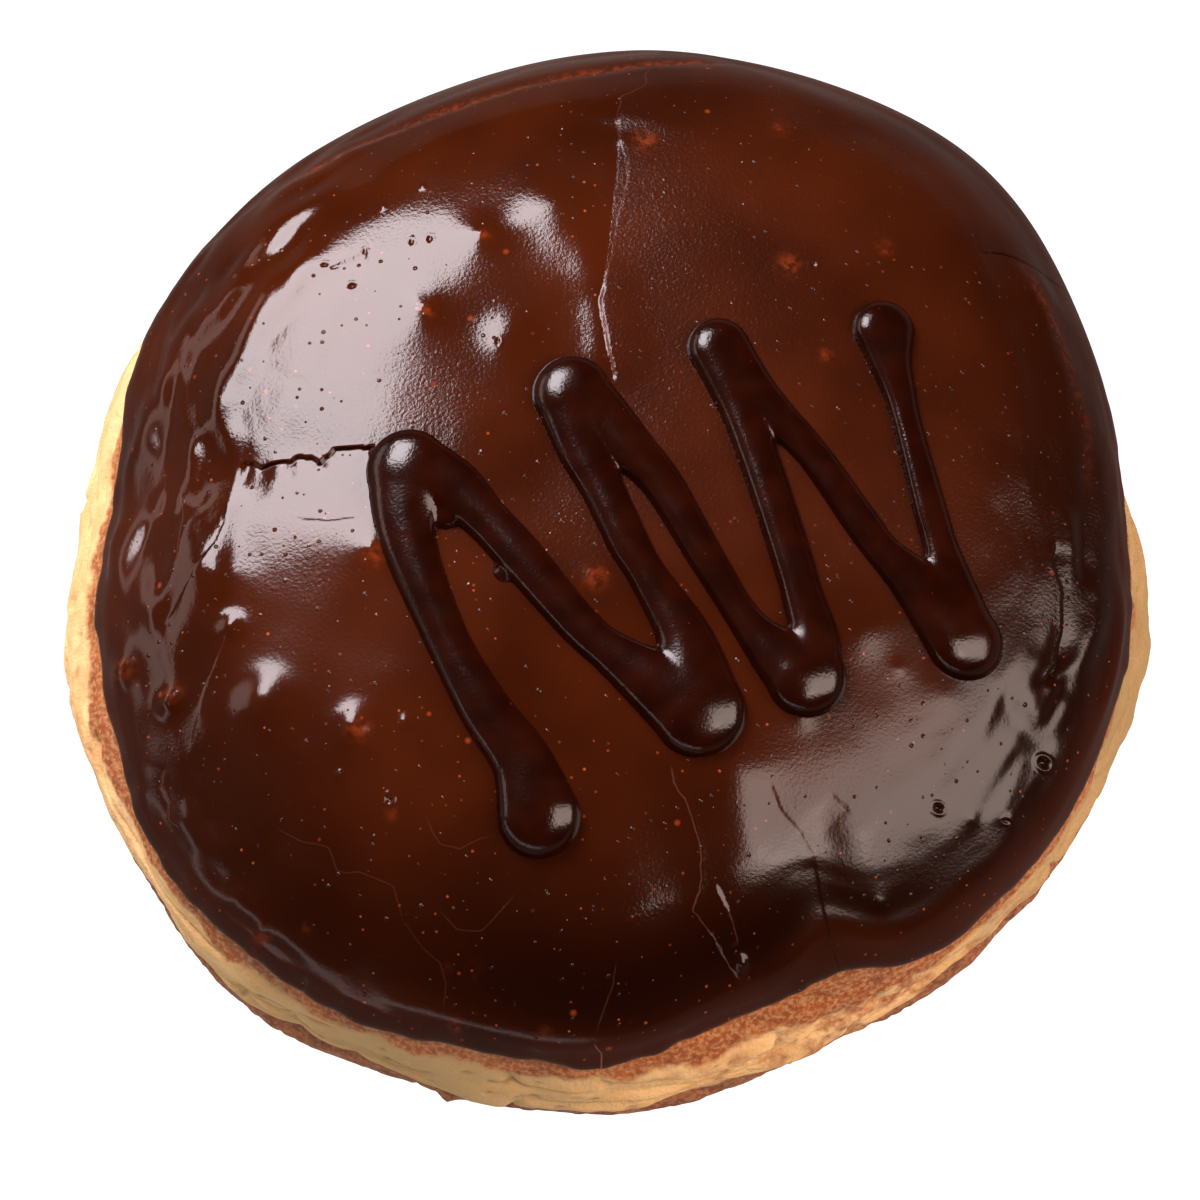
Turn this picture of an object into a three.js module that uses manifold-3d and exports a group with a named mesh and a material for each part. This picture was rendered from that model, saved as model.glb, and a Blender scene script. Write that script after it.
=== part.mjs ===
// A boston cream doughnut: a round, slightly flattened bun of fried dough with a pale
// ring round its waist, and a skin of chocolate icing that carries a piped zigzag.
// Millimetres, +Z up, resting on the plane Z = 0.
import * as THREE from 'three';
import { mergeVertices } from 'three/addons/utils/BufferGeometryUtils.js';
import Module from 'manifold-3d';

// Profile of the bun as [radius, height], from the middle of its base to its crown.
const BUN_PROFILE = [
  [0, 0],
  [26.9, 0],
  [40.3, 4.4],
  [45.8, 10.4],
  [47.2, 13.8],
  [46.5, 16.2],
  [47.9, 19.4],
  [47.5, 22.2],
  [46.3, 24.5],
  [44.7, 27.2],
  [41.4, 31.6],
  [34.3, 35.7],
  [20.8, 38.4],
  [0, 39.6],
];
const FOOT_STATION = 1;
const CROWN_STATION = BUN_PROFILE.length - 1;
const RIM_SEARCH = [7, 11];

// The bun isn't round. Each row is a bulge: azimuth, millimetres outward, half width,
// with both angles in degrees from +X towards +Y.
const WAIST_BULGES = [
  [21, -2.0, 13],
  [52, 2.3, 22],
  [89, 0.9, 23],
  [203, 1.4, 27],
  [230, 1.9, 13],
  [273, 1.2, 20],
  [297, -1.9, 31],
];
const SHOULDER_BULGES = [
  [4, -1.0, 16],
  [51, 2.8, 22],
  [84, 1.9, 17],
  [171, -2.5, 13],
  [226, 2.1, 26],
  [286, -2.9, 13],
];
const BULGE_RADIUS = 46;
const WAIST_TOP = 20;
const SHOULDER_BOTTOM = 29;

// The two creases beside the pale ring wander up and down: waves round, millimetres, phase.
const CREASE_WAVES = [
  [2, 0.7, 35],
  [5, 0.45, 120],
  [9, 0.25, 10],
];
const CREASE_HEIGHT = 19;
const CREASE_REACH = 6;
// Shallow wrinkles in the crust: waves round, millimetres, phase.
const CRUST_WAVES = [
  [11, 0.16, 20],
  [17, 0.12, 75],
  [29, 0.1, 140],
];

// Icing: clearance to the bun, thickness, and the height of its lower rim.
const ICING_GAP = 0.3;
const ICING_THICKNESS = 1.7;
const RIM_HEIGHT = 27.0;
const RIM_DIPS = [
  [88, -4.8, 62],
  [195, 0.6, 30],
  [297, 3.0, 6],
];
const RIM_WAVES = [
  [6, 0.25, 60],
  [13, 0.2, 15],
];
// Rounded lip of the rim as [millimetres above the rim along the skin, share of thickness].
const RIM_LIP = [
  [-0.25, 0.25],
  [-0.45, 0.5],
  [0.0, 0.78],
  [1.2, 0.95],
];
const STATION_LENGTH = 2.9;
// Hollows and swellings of the icing: x, y, height (a hollow's is negative), half width.
// They fade out over this share of the way up from the rim.
const RELIEF_FADE = 0.12;
const ICING_RELIEF = [
  [-17, 26, -0.7, 5],
  [-24, 31, 0.5, 7],
  [-31, 4, 0.5, 9],
  [-38, 18, -0.5, 6],
  [-22, -15, -0.4, 4],
  [26, -22, -0.5, 6],
  [20, -31, 0.4, 5],
  [38, -8, -0.5, 5],
  [38, 22, 0.4, 6],
  [2, 34, 0.3, 8],
  [-5, -37, 0.3, 7],
];

// Piped zigzag: each strand is a row of [x, y, half width] in plan.
const STRANDS = [
  [[-17.7, 3.5, 3.5], [-17.8, -2.4, 2.3], [-14.5, -11.3, 1.7], [-11.1, -17.8, 2.0],
    [-7.8, -22.6, 2.4], [-6.3, -27.3, 3.4]],
  [[-17.7, 3.5, 3.5], [-14.0, 1.4, 2.4], [-8.4, -4.8, 1.9], [-3.1, -10.5, 1.6],
    [0.3, -13.5, 1.8], [7.4, -18.3, 3.9]],
  [[7.4, -18.3, 3.9], [6.3, -12.2, 2.3], [3.1, -6.5, 1.5], [-0.9, 1.6, 1.7],
    [-2.7, 5.5, 2.1], [-3.5, 10.3, 3.3]],
  [[-3.5, 10.3, 3.3], [-0.7, 8.1, 2.2], [4.3, 2.0, 1.6], [11.2, -9.9, 1.3],
    [13.7, -12.8, 2.1], [16.6, -15.2, 3.3]],
  [[16.6, -15.2, 3.3], [17.3, -11.8, 2.0], [15.4, -4.4, 1.6], [12.4, 5.3, 1.6],
    [11.1, 9.4, 1.8], [9.3, 14.7, 2.6]],
  [[9.3, 14.7, 2.6], [11.8, 11.4, 1.9], [17.3, 5.1, 1.3], [23.4, -3.7, 1.4],
    [26.1, -6.4, 2.0], [30.4, -11.4, 3.2]],
  [[30.4, -11.4, 3.2], [29.8, -8.4, 2.3], [28.5, -3.3, 1.4], [25.7, 8.0, 1.1],
    [24.3, 13.8, 1.7], [23.8, 16.9, 2.6]],
];
const STRAND_BASE_HEIGHT = 0.7;
const STRAND_HEIGHT_PER_WIDTH = 0.46;
const STRAND_SINK = 0.9;
const STRAND_STEPS = 10;
const STRAND_SIDES = 10;
const STRAND_CAP_STEPS = 3;

const AZIMUTH_STEPS = 72;
const BUN_ROWS = 25;
const ICING_OUTER_ROWS = 13;
const ICING_INNER_ROWS = 8;

// Where the bun's axis stands, so that the whole is centred over the origin.
const AXIS_X = 0.3;
const AXIS_Y = -0.9;

const DOUGH_COLOUR = 0xc88f58;
const DOUGH_ROUGHNESS = 0.62;
const ICING_COLOUR = 0x4c1c0c;
const ICING_ROUGHNESS = 0.28;

const radians = THREE.MathUtils.degToRad;
const smoothstep = THREE.MathUtils.smoothstep;

// The crown is mirrored past the axis, so that the profile runs level over the middle.
const beyondCrown = BUN_PROFILE[CROWN_STATION - 1];
const profileCurve = new THREE.SplineCurve(
  [...BUN_PROFILE, [-beyondCrown[0], beyondCrown[1]]].map(([r, z]) => new THREE.Vector2(r, z)),
);

function bulgeAt(bulges, azimuth) {
  const turn = THREE.MathUtils.radToDeg(azimuth);
  return bulges.reduce((sum, [middle, amount, halfWidth]) => {
    const away = THREE.MathUtils.euclideanModulo(turn - middle + 180, 360) - 180;
    return sum + amount * Math.exp(-((away / halfWidth) ** 2));
  }, 0);
}

function wavesAt(waves, azimuth) {
  return waves.reduce(
    (sum, [count, amount, phase]) => sum + amount * Math.sin(count * azimuth + radians(phase)),
    0,
  );
}

// Radius and height of the bun's surface at a station of the profile.
function bunSection(station, azimuth) {
  const point = profileCurve.getPoint(station / (CROWN_STATION + 1));
  const share = smoothstep(point.y, WAIST_TOP, SHOULDER_BOTTOM);
  const waist = bulgeAt(WAIST_BULGES, azimuth) * (1 - share);
  const shoulder = bulgeAt(SHOULDER_BULGES, azimuth) * share;
  const nearCrease = Math.exp(-(((point.y - CREASE_HEIGHT) / CREASE_REACH) ** 2));
  point.x += (point.x / BULGE_RADIUS) * (waist + shoulder);
  point.y += nearCrease * wavesAt(CREASE_WAVES, azimuth);
  return point;
}

// A point lifted off the bun, square to its profile.
function skinPoint(station, azimuth, lift) {
  const step = 0.01;
  const point = bunSection(station, azimuth);
  const before = bunSection(Math.max(station - step, FOOT_STATION), azimuth);
  const after = bunSection(station + step, azimuth);
  const along = after.sub(before).normalize();
  const radius = point.x + along.y * lift;
  return new THREE.Vector3(
    AXIS_X + radius * Math.cos(azimuth),
    AXIS_Y + radius * Math.sin(azimuth),
    point.y - along.x * lift,
  );
}

function crustPoint(station, azimuth) {
  const lowestWrinkle = 3;
  const inCrust = smoothstep(station, FOOT_STATION, lowestWrinkle);
  const underIcing = 1 - smoothstep(station, RIM_SEARCH[0], RIM_SEARCH[0] + 1);
  return skinPoint(station, azimuth, wavesAt(CRUST_WAVES, azimuth) * inCrust * underIcing);
}

// Station of the profile where the icing's rim runs.
function rimStation(azimuth) {
  const height = RIM_HEIGHT + bulgeAt(RIM_DIPS, azimuth) + wavesAt(RIM_WAVES, azimuth);
  let [low, high] = RIM_SEARCH;
  for (let halving = 0; halving < 24; halving += 1) {
    const middle = (low + high) / 2;
    if (bunSection(middle, azimuth).y < height) low = middle;
    else high = middle;
  }
  return low;
}

function reliefAt(x, y) {
  return ICING_RELIEF.reduce((sum, [cx, cy, height, halfWidth]) => {
    const away = Math.hypot(x - AXIS_X - cx, y - AXIS_Y - cy) / halfWidth;
    return sum + height * Math.exp(-(away ** 2));
  }, 0);
}

// Outer face of the icing, from its rim (share 0) to the crown (share 1).
function icingPoint(share, azimuth) {
  const rim = rimStation(azimuth);
  const station = rim + (CROWN_STATION - rim) * share;
  const plain = skinPoint(station, azimuth, 0);
  const relief = reliefAt(plain.x, plain.y) * Math.min(1, share / RELIEF_FADE);
  return skinPoint(station, azimuth, ICING_GAP + ICING_THICKNESS + relief);
}

// Height of the icing's outer face over a point in plan.
function icingTop(x, y) {
  const azimuth = Math.atan2(y - AXIS_Y, x - AXIS_X);
  const wanted = Math.hypot(x - AXIS_X, y - AXIS_Y);
  let low = 0;
  let high = 1;
  for (let halving = 0; halving < 20; halving += 1) {
    const middle = (low + high) / 2;
    const point = icingPoint(middle, azimuth);
    const radius = Math.hypot(point.x - AXIS_X, point.y - AXIS_Y);
    if (radius > wanted) low = middle;
    else high = middle;
  }
  return icingPoint(low, azimuth).z;
}

// A closed body from rings of points that start and end in a single point.
function loft(firstPole, rings, lastPole) {
  const positions = [];
  const indices = [];
  const around = rings[0].length;
  [firstPole, ...rings.flat(), lastPole].forEach((p) => positions.push(p.x, p.y, p.z));
  const at = (ring, side) => 1 + ring * around + (side % around);
  const last = 1 + rings.length * around;
  for (let side = 0; side < around; side += 1) {
    indices.push(0, at(0, side + 1), at(0, side));
    indices.push(last, at(rings.length - 1, side), at(rings.length - 1, side + 1));
    for (let ring = 0; ring < rings.length - 1; ring += 1) {
      indices.push(at(ring, side), at(ring, side + 1), at(ring + 1, side + 1));
      indices.push(at(ring, side), at(ring + 1, side + 1), at(ring + 1, side));
    }
  }
  const geometry = new THREE.BufferGeometry();
  geometry.setAttribute('position', new THREE.Float32BufferAttribute(positions, 3));
  geometry.setIndex(indices);
  return geometry;
}

function ringOf(pointAtAzimuth) {
  return Array.from({ length: AZIMUTH_STEPS }, (_, side) =>
    pointAtAzimuth((side / AZIMUTH_STEPS) * 2 * Math.PI),
  );
}

function bunGeometry() {
  const rings = [];
  for (let row = 0; row < BUN_ROWS; row += 1) {
    const station = FOOT_STATION + ((CROWN_STATION - FOOT_STATION) * row) / BUN_ROWS;
    rings.push(ringOf((azimuth) => crustPoint(station, azimuth)));
  }
  const base = new THREE.Vector3(AXIS_X, AXIS_Y, 0);
  return loft(base, rings, skinPoint(CROWN_STATION, 0, 0));
}

function icingGeometry() {
  const rings = [];
  for (let row = 1; row <= ICING_INNER_ROWS; row += 1) {
    const share = 1 - row / ICING_INNER_ROWS;
    rings.push(
      ringOf((azimuth) => {
        const rim = rimStation(azimuth);
        return skinPoint(rim + (CROWN_STATION - rim) * share, azimuth, ICING_GAP);
      }),
    );
  }
  RIM_LIP.forEach(([above, thickness]) => {
    const lift = ICING_GAP + ICING_THICKNESS * thickness;
    const lipPoint = (azimuth) =>
      skinPoint(rimStation(azimuth) + above / STATION_LENGTH, azimuth, lift);
    rings.push(ringOf(lipPoint));
  });
  for (let row = 1; row < ICING_OUTER_ROWS; row += 1) {
    rings.push(ringOf((azimuth) => icingPoint(row / ICING_OUTER_ROWS, azimuth)));
  }
  const underCrown = skinPoint(CROWN_STATION, 0, ICING_GAP);
  return loft(underCrown, rings, icingPoint(1, 0));
}

// One strand of the zigzag: a capsule bent along its route and laid over the dome.
function strandGeometry(route) {
  const length = 2;
  const geometry = new THREE.CapsuleGeometry(
    1, length, STRAND_CAP_STEPS, STRAND_SIDES, STRAND_STEPS);
  geometry.deleteAttribute('normal');
  geometry.deleteAttribute('uv');
  const curve = new THREE.CatmullRomCurve3(
    route.map(([x, y, halfWidth]) => new THREE.Vector3(x, y, halfWidth)));
  const position = geometry.getAttribute('position');
  for (let index = 0; index < position.count; index += 1) {
    const across = position.getX(index);
    const along = position.getY(index);
    const up = position.getZ(index);
    const share = THREE.MathUtils.clamp(along / length + 0.5, 0, 1);
    const beyond = along - (share - 0.5) * length;
    const centre = curve.getPoint(share);
    const tangent = curve.getTangent(share).setZ(0).normalize();
    const halfWidth = centre.z;
    const x = AXIS_X + centre.x + halfWidth * (tangent.x * beyond + tangent.y * across);
    const y = AXIS_Y + centre.y + halfWidth * (tangent.y * beyond - tangent.x * across);
    const crest = STRAND_BASE_HEIGHT + STRAND_HEIGHT_PER_WIDTH * halfWidth;
    const lift = up * (up > 0 ? crest : STRAND_SINK);
    position.setXYZ(index, x, y, icingTop(x, y) + lift);
  }
  return geometry;
}

const wasm = await Module();
wasm.setup();

function solidOf(geometry) {
  const welded = mergeVertices(geometry, 1e-4);
  const solid = new wasm.Manifold(new wasm.Mesh({
    numProp: 3,
    vertProperties: Float32Array.from(welded.getAttribute('position').array),
    triVerts: Uint32Array.from(welded.getIndex().array),
  }));
  return solid;
}

function geometryOf(solid) {
  const mesh = solid.getMesh();
  const geometry = new THREE.BufferGeometry();
  const positions = new THREE.BufferAttribute(mesh.vertProperties, 3);
  geometry.setAttribute('position', positions);
  geometry.setIndex(new THREE.BufferAttribute(mesh.triVerts, 1));
  return geometry;
}

function icingWithZigzag() {
  const strands = STRANDS.map((route) => solidOf(strandGeometry(route)));
  return geometryOf(strands.reduce((whole, strand) => whole.add(strand), solidOf(icingGeometry())));
}

function part(name, geometry, colour, roughness) {
  geometry.computeVertexNormals();
  const material = new THREE.MeshStandardMaterial({ color: colour, roughness, metalness: 0 });
  const mesh = new THREE.Mesh(geometry, material);
  mesh.name = name;
  return mesh;
}

const group = new THREE.Group();
group.add(part('dough_bun', bunGeometry(), DOUGH_COLOUR, DOUGH_ROUGHNESS));
group.add(part('chocolate_icing', icingWithZigzag(), ICING_COLOUR, ICING_ROUGHNESS));

export default group;
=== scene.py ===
"""The looks of a boston cream doughnut: a fried bun, its chocolate icing and a piped zigzag.

Shapes are worked out in millimetres round the bun's own axis, with azimuths in degrees from +X
towards +Y, and become metres in the frame when a mesh is finished.
"""
import logging
import math
from dataclasses import dataclass
from typing import Sequence

import bmesh
import bpy
import numpy as np
from mathutils import Matrix, Vector


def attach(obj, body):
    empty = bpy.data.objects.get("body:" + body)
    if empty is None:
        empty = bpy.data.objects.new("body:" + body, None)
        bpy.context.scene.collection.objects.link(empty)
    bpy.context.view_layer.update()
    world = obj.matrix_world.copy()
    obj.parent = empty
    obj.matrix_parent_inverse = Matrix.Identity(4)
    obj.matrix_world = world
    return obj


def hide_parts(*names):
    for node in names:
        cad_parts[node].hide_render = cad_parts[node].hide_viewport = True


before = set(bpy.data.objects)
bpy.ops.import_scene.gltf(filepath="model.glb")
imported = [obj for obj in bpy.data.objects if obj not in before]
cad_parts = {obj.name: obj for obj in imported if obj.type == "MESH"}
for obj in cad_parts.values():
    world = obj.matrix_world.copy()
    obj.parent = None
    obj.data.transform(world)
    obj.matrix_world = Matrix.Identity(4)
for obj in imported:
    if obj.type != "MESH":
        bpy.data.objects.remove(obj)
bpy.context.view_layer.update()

log = logging.getLogger("doughnut")

MILLIMETRE = 0.001
BODY = "root"
AXIS = (0.3, -0.9)
MERGE_DISTANCE = 1e-4

Route = Sequence[Sequence[float]]
Colour = tuple[float, float, float, float]


def smoothstep(value: np.ndarray, low: float, high: float) -> np.ndarray:
    """Returns 0 below low, 1 above high, and an even turn between them."""
    share = np.clip((value - low) / (high - low), 0.0, 1.0)
    return share * share * (3.0 - 2.0 * share)


def bell(value: np.ndarray, half_width: float) -> np.ndarray:
    """Returns a rounded bump of height 1 over 0 that has this half width."""
    return np.exp(-((value / half_width) ** 2))


def catmull(points: np.ndarray, places: np.ndarray) -> np.ndarray:
    """Runs a smooth curve through points, one station apart.

    Args:
        points: the curve's points, one a row.
        places: stations along the curve, from 0 to the number of points less one.

    Returns:
        The curve's point at each place, one a row.
    """
    last = len(points) - 1
    left = np.clip(np.floor(places).astype(int), 0, last - 1)
    share = (places - left)[..., None]
    before = points[np.maximum(left - 1, 0)]
    start, end = points[left], points[left + 1]
    after = points[np.minimum(left + 2, last)]
    leaving, arriving = (end - before) / 2, (after - start) / 2
    cubic = 2 * start - 2 * end + leaving + arriving
    square = -3 * start + 3 * end - 2 * leaving - arriving
    return ((cubic * share + square) * share + leaving) * share + start


class Wobble:
    """Smooth random relief that repeats on every run."""

    CELLS = 48
    START = 1000.37
    OCTAVE_SHIFT = 31.7

    def __init__(self, seed: int) -> None:
        """Fills a lattice with random heights from -1 to 1."""
        self.lattice = np.random.default_rng(seed).uniform(-1.0, 1.0, (self.CELLS,) * 3)

    def at(self, points: np.ndarray, grain: Sequence[float]) -> np.ndarray:
        """Reads the relief.

        Args:
            points: places, one a row, in millimetres.
            grain: size of a lump along x, y and z, in millimetres.

        Returns:
            The height at each place, from -1 to 1.
        """
        cell = points / np.asarray(grain, float) + self.START
        low = np.floor(cell).astype(int)
        share = cell - low
        share = share**3 * (share * (share * 6.0 - 15.0) + 10.0)
        total = np.zeros(len(points))
        for corner in np.ndindex(2, 2, 2):
            index = (low + corner) % self.CELLS
            weight = np.prod(np.where(corner, share, 1.0 - share), axis=1)
            total += weight * self.lattice[index[:, 0], index[:, 1], index[:, 2]]
        return total

    def rough(self, points: np.ndarray, grain: float, octaves: int = 3) -> np.ndarray:
        """Returns relief of even grain with finer and finer lumps laid on it.

        Args:
            points: places, one a row, in millimetres.
            grain: size of the largest lumps, in millimetres.
            octaves: how many sizes are laid on each other.

        Returns:
            The height at each place, from about -2 to 2.
        """
        total = np.zeros(len(points))
        for octave in range(octaves):
            size = grain / 2**octave
            total += self.at(points + self.OCTAVE_SHIFT * octave, (size,) * 3) / 2**octave
        return total


@dataclass(frozen=True)
class Grain:
    """Random relief of one kind: its height, the size of its lumps, and where it is read."""

    height: float
    size: tuple[float, float, float]
    shift: float = 0.0

    def relief(self, points: np.ndarray, wobble: Wobble) -> np.ndarray:
        """Returns the height that it adds at each point."""
        return self.height * wobble.at(points + self.shift, self.size)


@dataclass(frozen=True)
class BunForm:
    """The bun's outline: a profile swept round its axis, with bulges that make it uneven."""

    profile: Route = (
        (0, 0), (26.9, 0), (40.3, 4.4), (45.8, 10.4), (47.2, 13.8), (46.5, 16.2), (47.9, 19.4),
        (47.5, 22.2), (46.3, 24.5), (44.7, 27.2), (41.4, 31.6), (34.3, 35.7), (20.8, 38.4),
        (0, 39.6),
    )
    waist_bulges: Route = (
        (21, -2.0, 13), (52, 2.3, 22), (89, 0.9, 23), (203, 1.4, 27), (230, 1.9, 13),
        (273, 1.2, 20), (297, -1.9, 31),
    )
    shoulder_bulges: Route = (
        (4, -1.0, 16), (51, 2.8, 22), (84, 1.9, 17), (171, -2.5, 13), (226, 2.1, 26),
        (286, -2.9, 13),
    )
    bulge_radius: float = 46.0
    waist_top: float = 20.0
    shoulder_bottom: float = 29.0
    crease_waves: Route = ((2, 0.7, 35), (5, 0.45, 120), (9, 0.25, 10))
    crease_height: float = 19.0
    crease_reach: float = 6.0
    rim_height: float = 27.0
    rim_dips: Route = ((88, -4.8, 62), (195, 0.6, 30), (297, 3.0, 6))
    rim_waves: Route = ((6, 0.25, 60), (13, 0.2, 15))
    rim_search: tuple[float, float] = (7.0, 11.0)
    rim_halvings: int = 20
    foot_station: float = 1.0
    slope_step: float = 0.01
    run_steps: int = 600

    @property
    def crown_station(self) -> int:
        """Station of the profile that lies on the axis."""
        return len(self.profile) - 1

    @staticmethod
    def bulge(rows: Route, azimuth: np.ndarray) -> np.ndarray:
        """Returns the sum of bulges (azimuth, amount, half width) in each direction.

        Args:
            rows: the bulges.
            azimuth: directions, in radians.

        Returns:
            The sum in each direction.
        """
        total = np.zeros(np.shape(azimuth))
        for middle, amount, half_width in rows:
            away = (np.degrees(azimuth) - middle + 180.0) % 360.0 - 180.0
            total += amount * bell(away, half_width)
        return total

    @staticmethod
    def waves(rows: Route, azimuth: np.ndarray) -> np.ndarray:
        """Returns the sum of waves (count round, amount, phase) in each direction."""
        return sum(
            amount * np.sin(count * azimuth + math.radians(phase)) for count, amount, phase in rows
        )

    def section(self, station: np.ndarray, azimuth: np.ndarray) -> tuple[np.ndarray, np.ndarray]:
        """Returns the radius and height of the bun's surface at a station and azimuth.

        Args:
            station: stations of the profile.
            azimuth: directions, in radians.

        Returns:
            The radius and the height of each.
        """
        before_axis = self.profile[-2]
        points = np.array([*self.profile, (-before_axis[0], before_axis[1])], float)
        radius, height = np.moveaxis(catmull(points, station), -1, 0)
        share = smoothstep(height, self.waist_top, self.shoulder_bottom)
        waist = self.bulge(self.waist_bulges, azimuth) * (1.0 - share)
        shoulder = self.bulge(self.shoulder_bulges, azimuth) * share
        near = bell(height - self.crease_height, self.crease_reach)
        radius = radius + radius / self.bulge_radius * (waist + shoulder)
        return radius, height + near * self.waves(self.crease_waves, azimuth)

    def skin(self, station: np.ndarray, azimuth: np.ndarray, lift: np.ndarray) -> np.ndarray:
        """Returns points lifted off the bun, square to its profile, one a row.

        Args:
            station: stations of the profile.
            azimuth: directions, in radians.
            lift: how far each point stands off the bun, in millimetres.

        Returns:
            The points, one a row.
        """
        radius, height = self.section(station, azimuth)
        lower = self.section(np.maximum(station - self.slope_step, 0.0), azimuth)
        upper = self.section(station + self.slope_step, azimuth)
        outward, upward = upper[0] - lower[0], upper[1] - lower[1]
        length = np.maximum(np.hypot(outward, upward), 1e-9)
        radius = radius + upward / length * lift
        height = height - outward / length * lift
        return np.stack([radius * np.cos(azimuth), radius * np.sin(azimuth), height], axis=-1)

    def rim_station(self, azimuth: np.ndarray) -> np.ndarray:
        """Returns the station where the icing's rim runs in each direction.

        Args:
            azimuth: directions, in radians.

        Returns:
            The station in each direction.
        """
        wanted = self.rim_height + self.bulge(self.rim_dips, azimuth)
        wanted = wanted + self.waves(self.rim_waves, azimuth)
        low = np.full(np.shape(azimuth), self.rim_search[0])
        high = np.full(np.shape(azimuth), self.rim_search[1])
        for _ in range(self.rim_halvings):
            middle = (low + high) / 2
            below = self.section(middle, azimuth)[1] < wanted
            low, high = np.where(below, middle, low), np.where(below, high, middle)
        return low

    def run(self) -> tuple[np.ndarray, np.ndarray]:
        """Returns stations of the profile and the way along it from the crown to each.

        Returns:
            The stations, and the way from the crown to each, in millimetres.
        """
        stations = np.linspace(0.0, self.crown_station, self.run_steps)
        radius, height = self.section(stations, np.zeros(stations.shape))
        steps = np.hypot(np.diff(radius), np.diff(height))
        return stations, np.concatenate([np.cumsum(steps[::-1])[::-1], [0.0]])


def to_route(points: np.ndarray, route: Route) -> tuple[np.ndarray, np.ndarray]:
    """Measures how far points lie from a line in plan.

    Args:
        points: places, one a row, of which x and y count.
        route: the line's corners.

    Returns:
        The distance from the line, positive on its right-hand side, and how far from the
        line's nearer end each point lies along it, negative beyond the ends.
    """
    corners = np.asarray(route, float)
    lengths = np.linalg.norm(np.diff(corners, axis=0), axis=1)
    total = lengths.sum()
    nearest = np.full(len(points), np.inf)
    signed = np.full(len(points), np.inf)
    inside = np.zeros(len(points))
    walked = 0.0
    for start, end, length in zip(corners[:-1], corners[1:], lengths):
        way = (end - start) / length
        offset = points[:, :2] - start
        along = offset @ way
        held = np.clip(along, 0.0, length)
        side = offset[:, 1] * way[0] - offset[:, 0] * way[1]
        away = np.hypot(offset[:, 0] - held * way[0], offset[:, 1] - held * way[1])
        closer = away < nearest
        nearest = np.where(closer, away, nearest)
        signed = np.where(closer, -np.copysign(away, side), signed)
        to_end = np.minimum(walked + along, total - walked - along)
        inside = np.where(closer, to_end, inside)
        walked += length
    return signed, inside


@dataclass(frozen=True)
class Crease:
    """A line in the icing: a fine crack, or the edge of a plate or of a fold.

    The right-hand side of the route drops by step over softness and comes level again after
    reach; the left-hand side stands up by lift at the line. All sizes are millimetres. Where
    its tone is above 0 the line is painted dark, as painted shade inside the crack; where it
    is below 0 it is painted light, mostly a painted highlight on a lit edge and in places a
    lighter plate edge.
    """

    route: Route
    step: float = 0.0
    reach: float = 4.0
    softness: float = 0.15
    lift: float = 0.0
    groove: float = 0.0
    groove_width: float = 0.15
    ragged: float = 0.12
    tone: float = 0.0
    ends: float = 2.0
    ragged_grain: float = 1.3
    sharp_below: float = 0.6

    @property
    def is_sharp(self) -> bool:
        """Whether the line needs a finer mesh along it."""
        return self.softness < self.sharp_below

    def measure(self, points: np.ndarray, wobble: Wobble) -> tuple[np.ndarray, np.ndarray]:
        """Returns the ragged distance from the line and how fully it is there, 0 to 1.

        Args:
            points: places, one a row, in millimetres.
            wobble: the random relief.

        Returns:
            The distance of each point, and the line's strength there.
        """
        away, inside = to_route(points, self.route)
        away = away + self.ragged * wobble.rough(points * (1, 1, 0), self.ragged_grain)
        return away, smoothstep(inside, -0.2 * self.ends, self.ends)

    def relief(self, away: np.ndarray, here: np.ndarray) -> np.ndarray:
        """Returns the height that the line adds at points this far from it.

        Args:
            away: distance from the line, positive on its right-hand side.
            here: how fully the line is there, from 0 to 1.

        Returns:
            The height at each point.
        """
        dropped = smoothstep(away, -self.softness / 2, self.softness / 2)
        drop = -self.step * dropped * np.exp(-np.maximum(away, 0.0) / self.reach)
        stand = self.lift * (1.0 - dropped) * np.exp(np.minimum(away, 0.0) / (self.reach / 2))
        return here * (drop + stand - self.groove * bell(away, self.groove_width))


@dataclass(frozen=True)
class Swelling:
    """A rounded swelling of the icing, or a hollow if its height is negative."""

    x: float
    y: float
    height: float
    half_width: float
    half_length: float = 0.0
    turn: float = 0.0

    def relief(self, points: np.ndarray) -> np.ndarray:
        """Returns the height that it adds at each point.

        Args:
            points: places, one a row, in millimetres.

        Returns:
            The height at each point.
        """
        turn = math.radians(self.turn)
        x, y = points[:, 0] - self.x, points[:, 1] - self.y
        along = x * math.cos(turn) + y * math.sin(turn)
        across = y * math.cos(turn) - x * math.sin(turn)
        half_length = self.half_length or self.half_width
        return self.height * np.exp(-((along / half_length) ** 2 + (across / self.half_width) ** 2))


@dataclass(frozen=True)
class Fold:
    """A long rounded ridge along a line, or a long hollow if its height is negative."""

    route: Route
    height: float
    half_width: float
    ends: float = 5.0
    end_width: float = 0.6

    def relief(self, points: np.ndarray, sway: np.ndarray) -> np.ndarray:
        """Returns the height that it adds at each point, with its line moved by sway.

        Args:
            points: places, one a row, in millimetres.
            sway: how far the line is moved at each point.

        Returns:
            The height at each point.
        """
        away, inside = to_route(points, self.route)
        here = smoothstep(inside, -self.half_width, self.ends)
        width = self.half_width * (self.end_width + (1.0 - self.end_width) * here)
        return self.height * here * bell(away + sway, width)


@dataclass(frozen=True)
class Peak:
    """A crumb of the bun that lifts the icing to a low pointed bump."""

    x: float
    y: float
    height: float
    reach: float
    tip: float = 0.22

    def relief(self, points: np.ndarray) -> np.ndarray:
        """Returns the height that it adds at each point."""
        away = np.hypot(points[:, 0] - self.x, points[:, 1] - self.y)
        return self.height * np.exp(-(np.hypot(away, self.tip) - self.tip) / self.reach)


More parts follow.
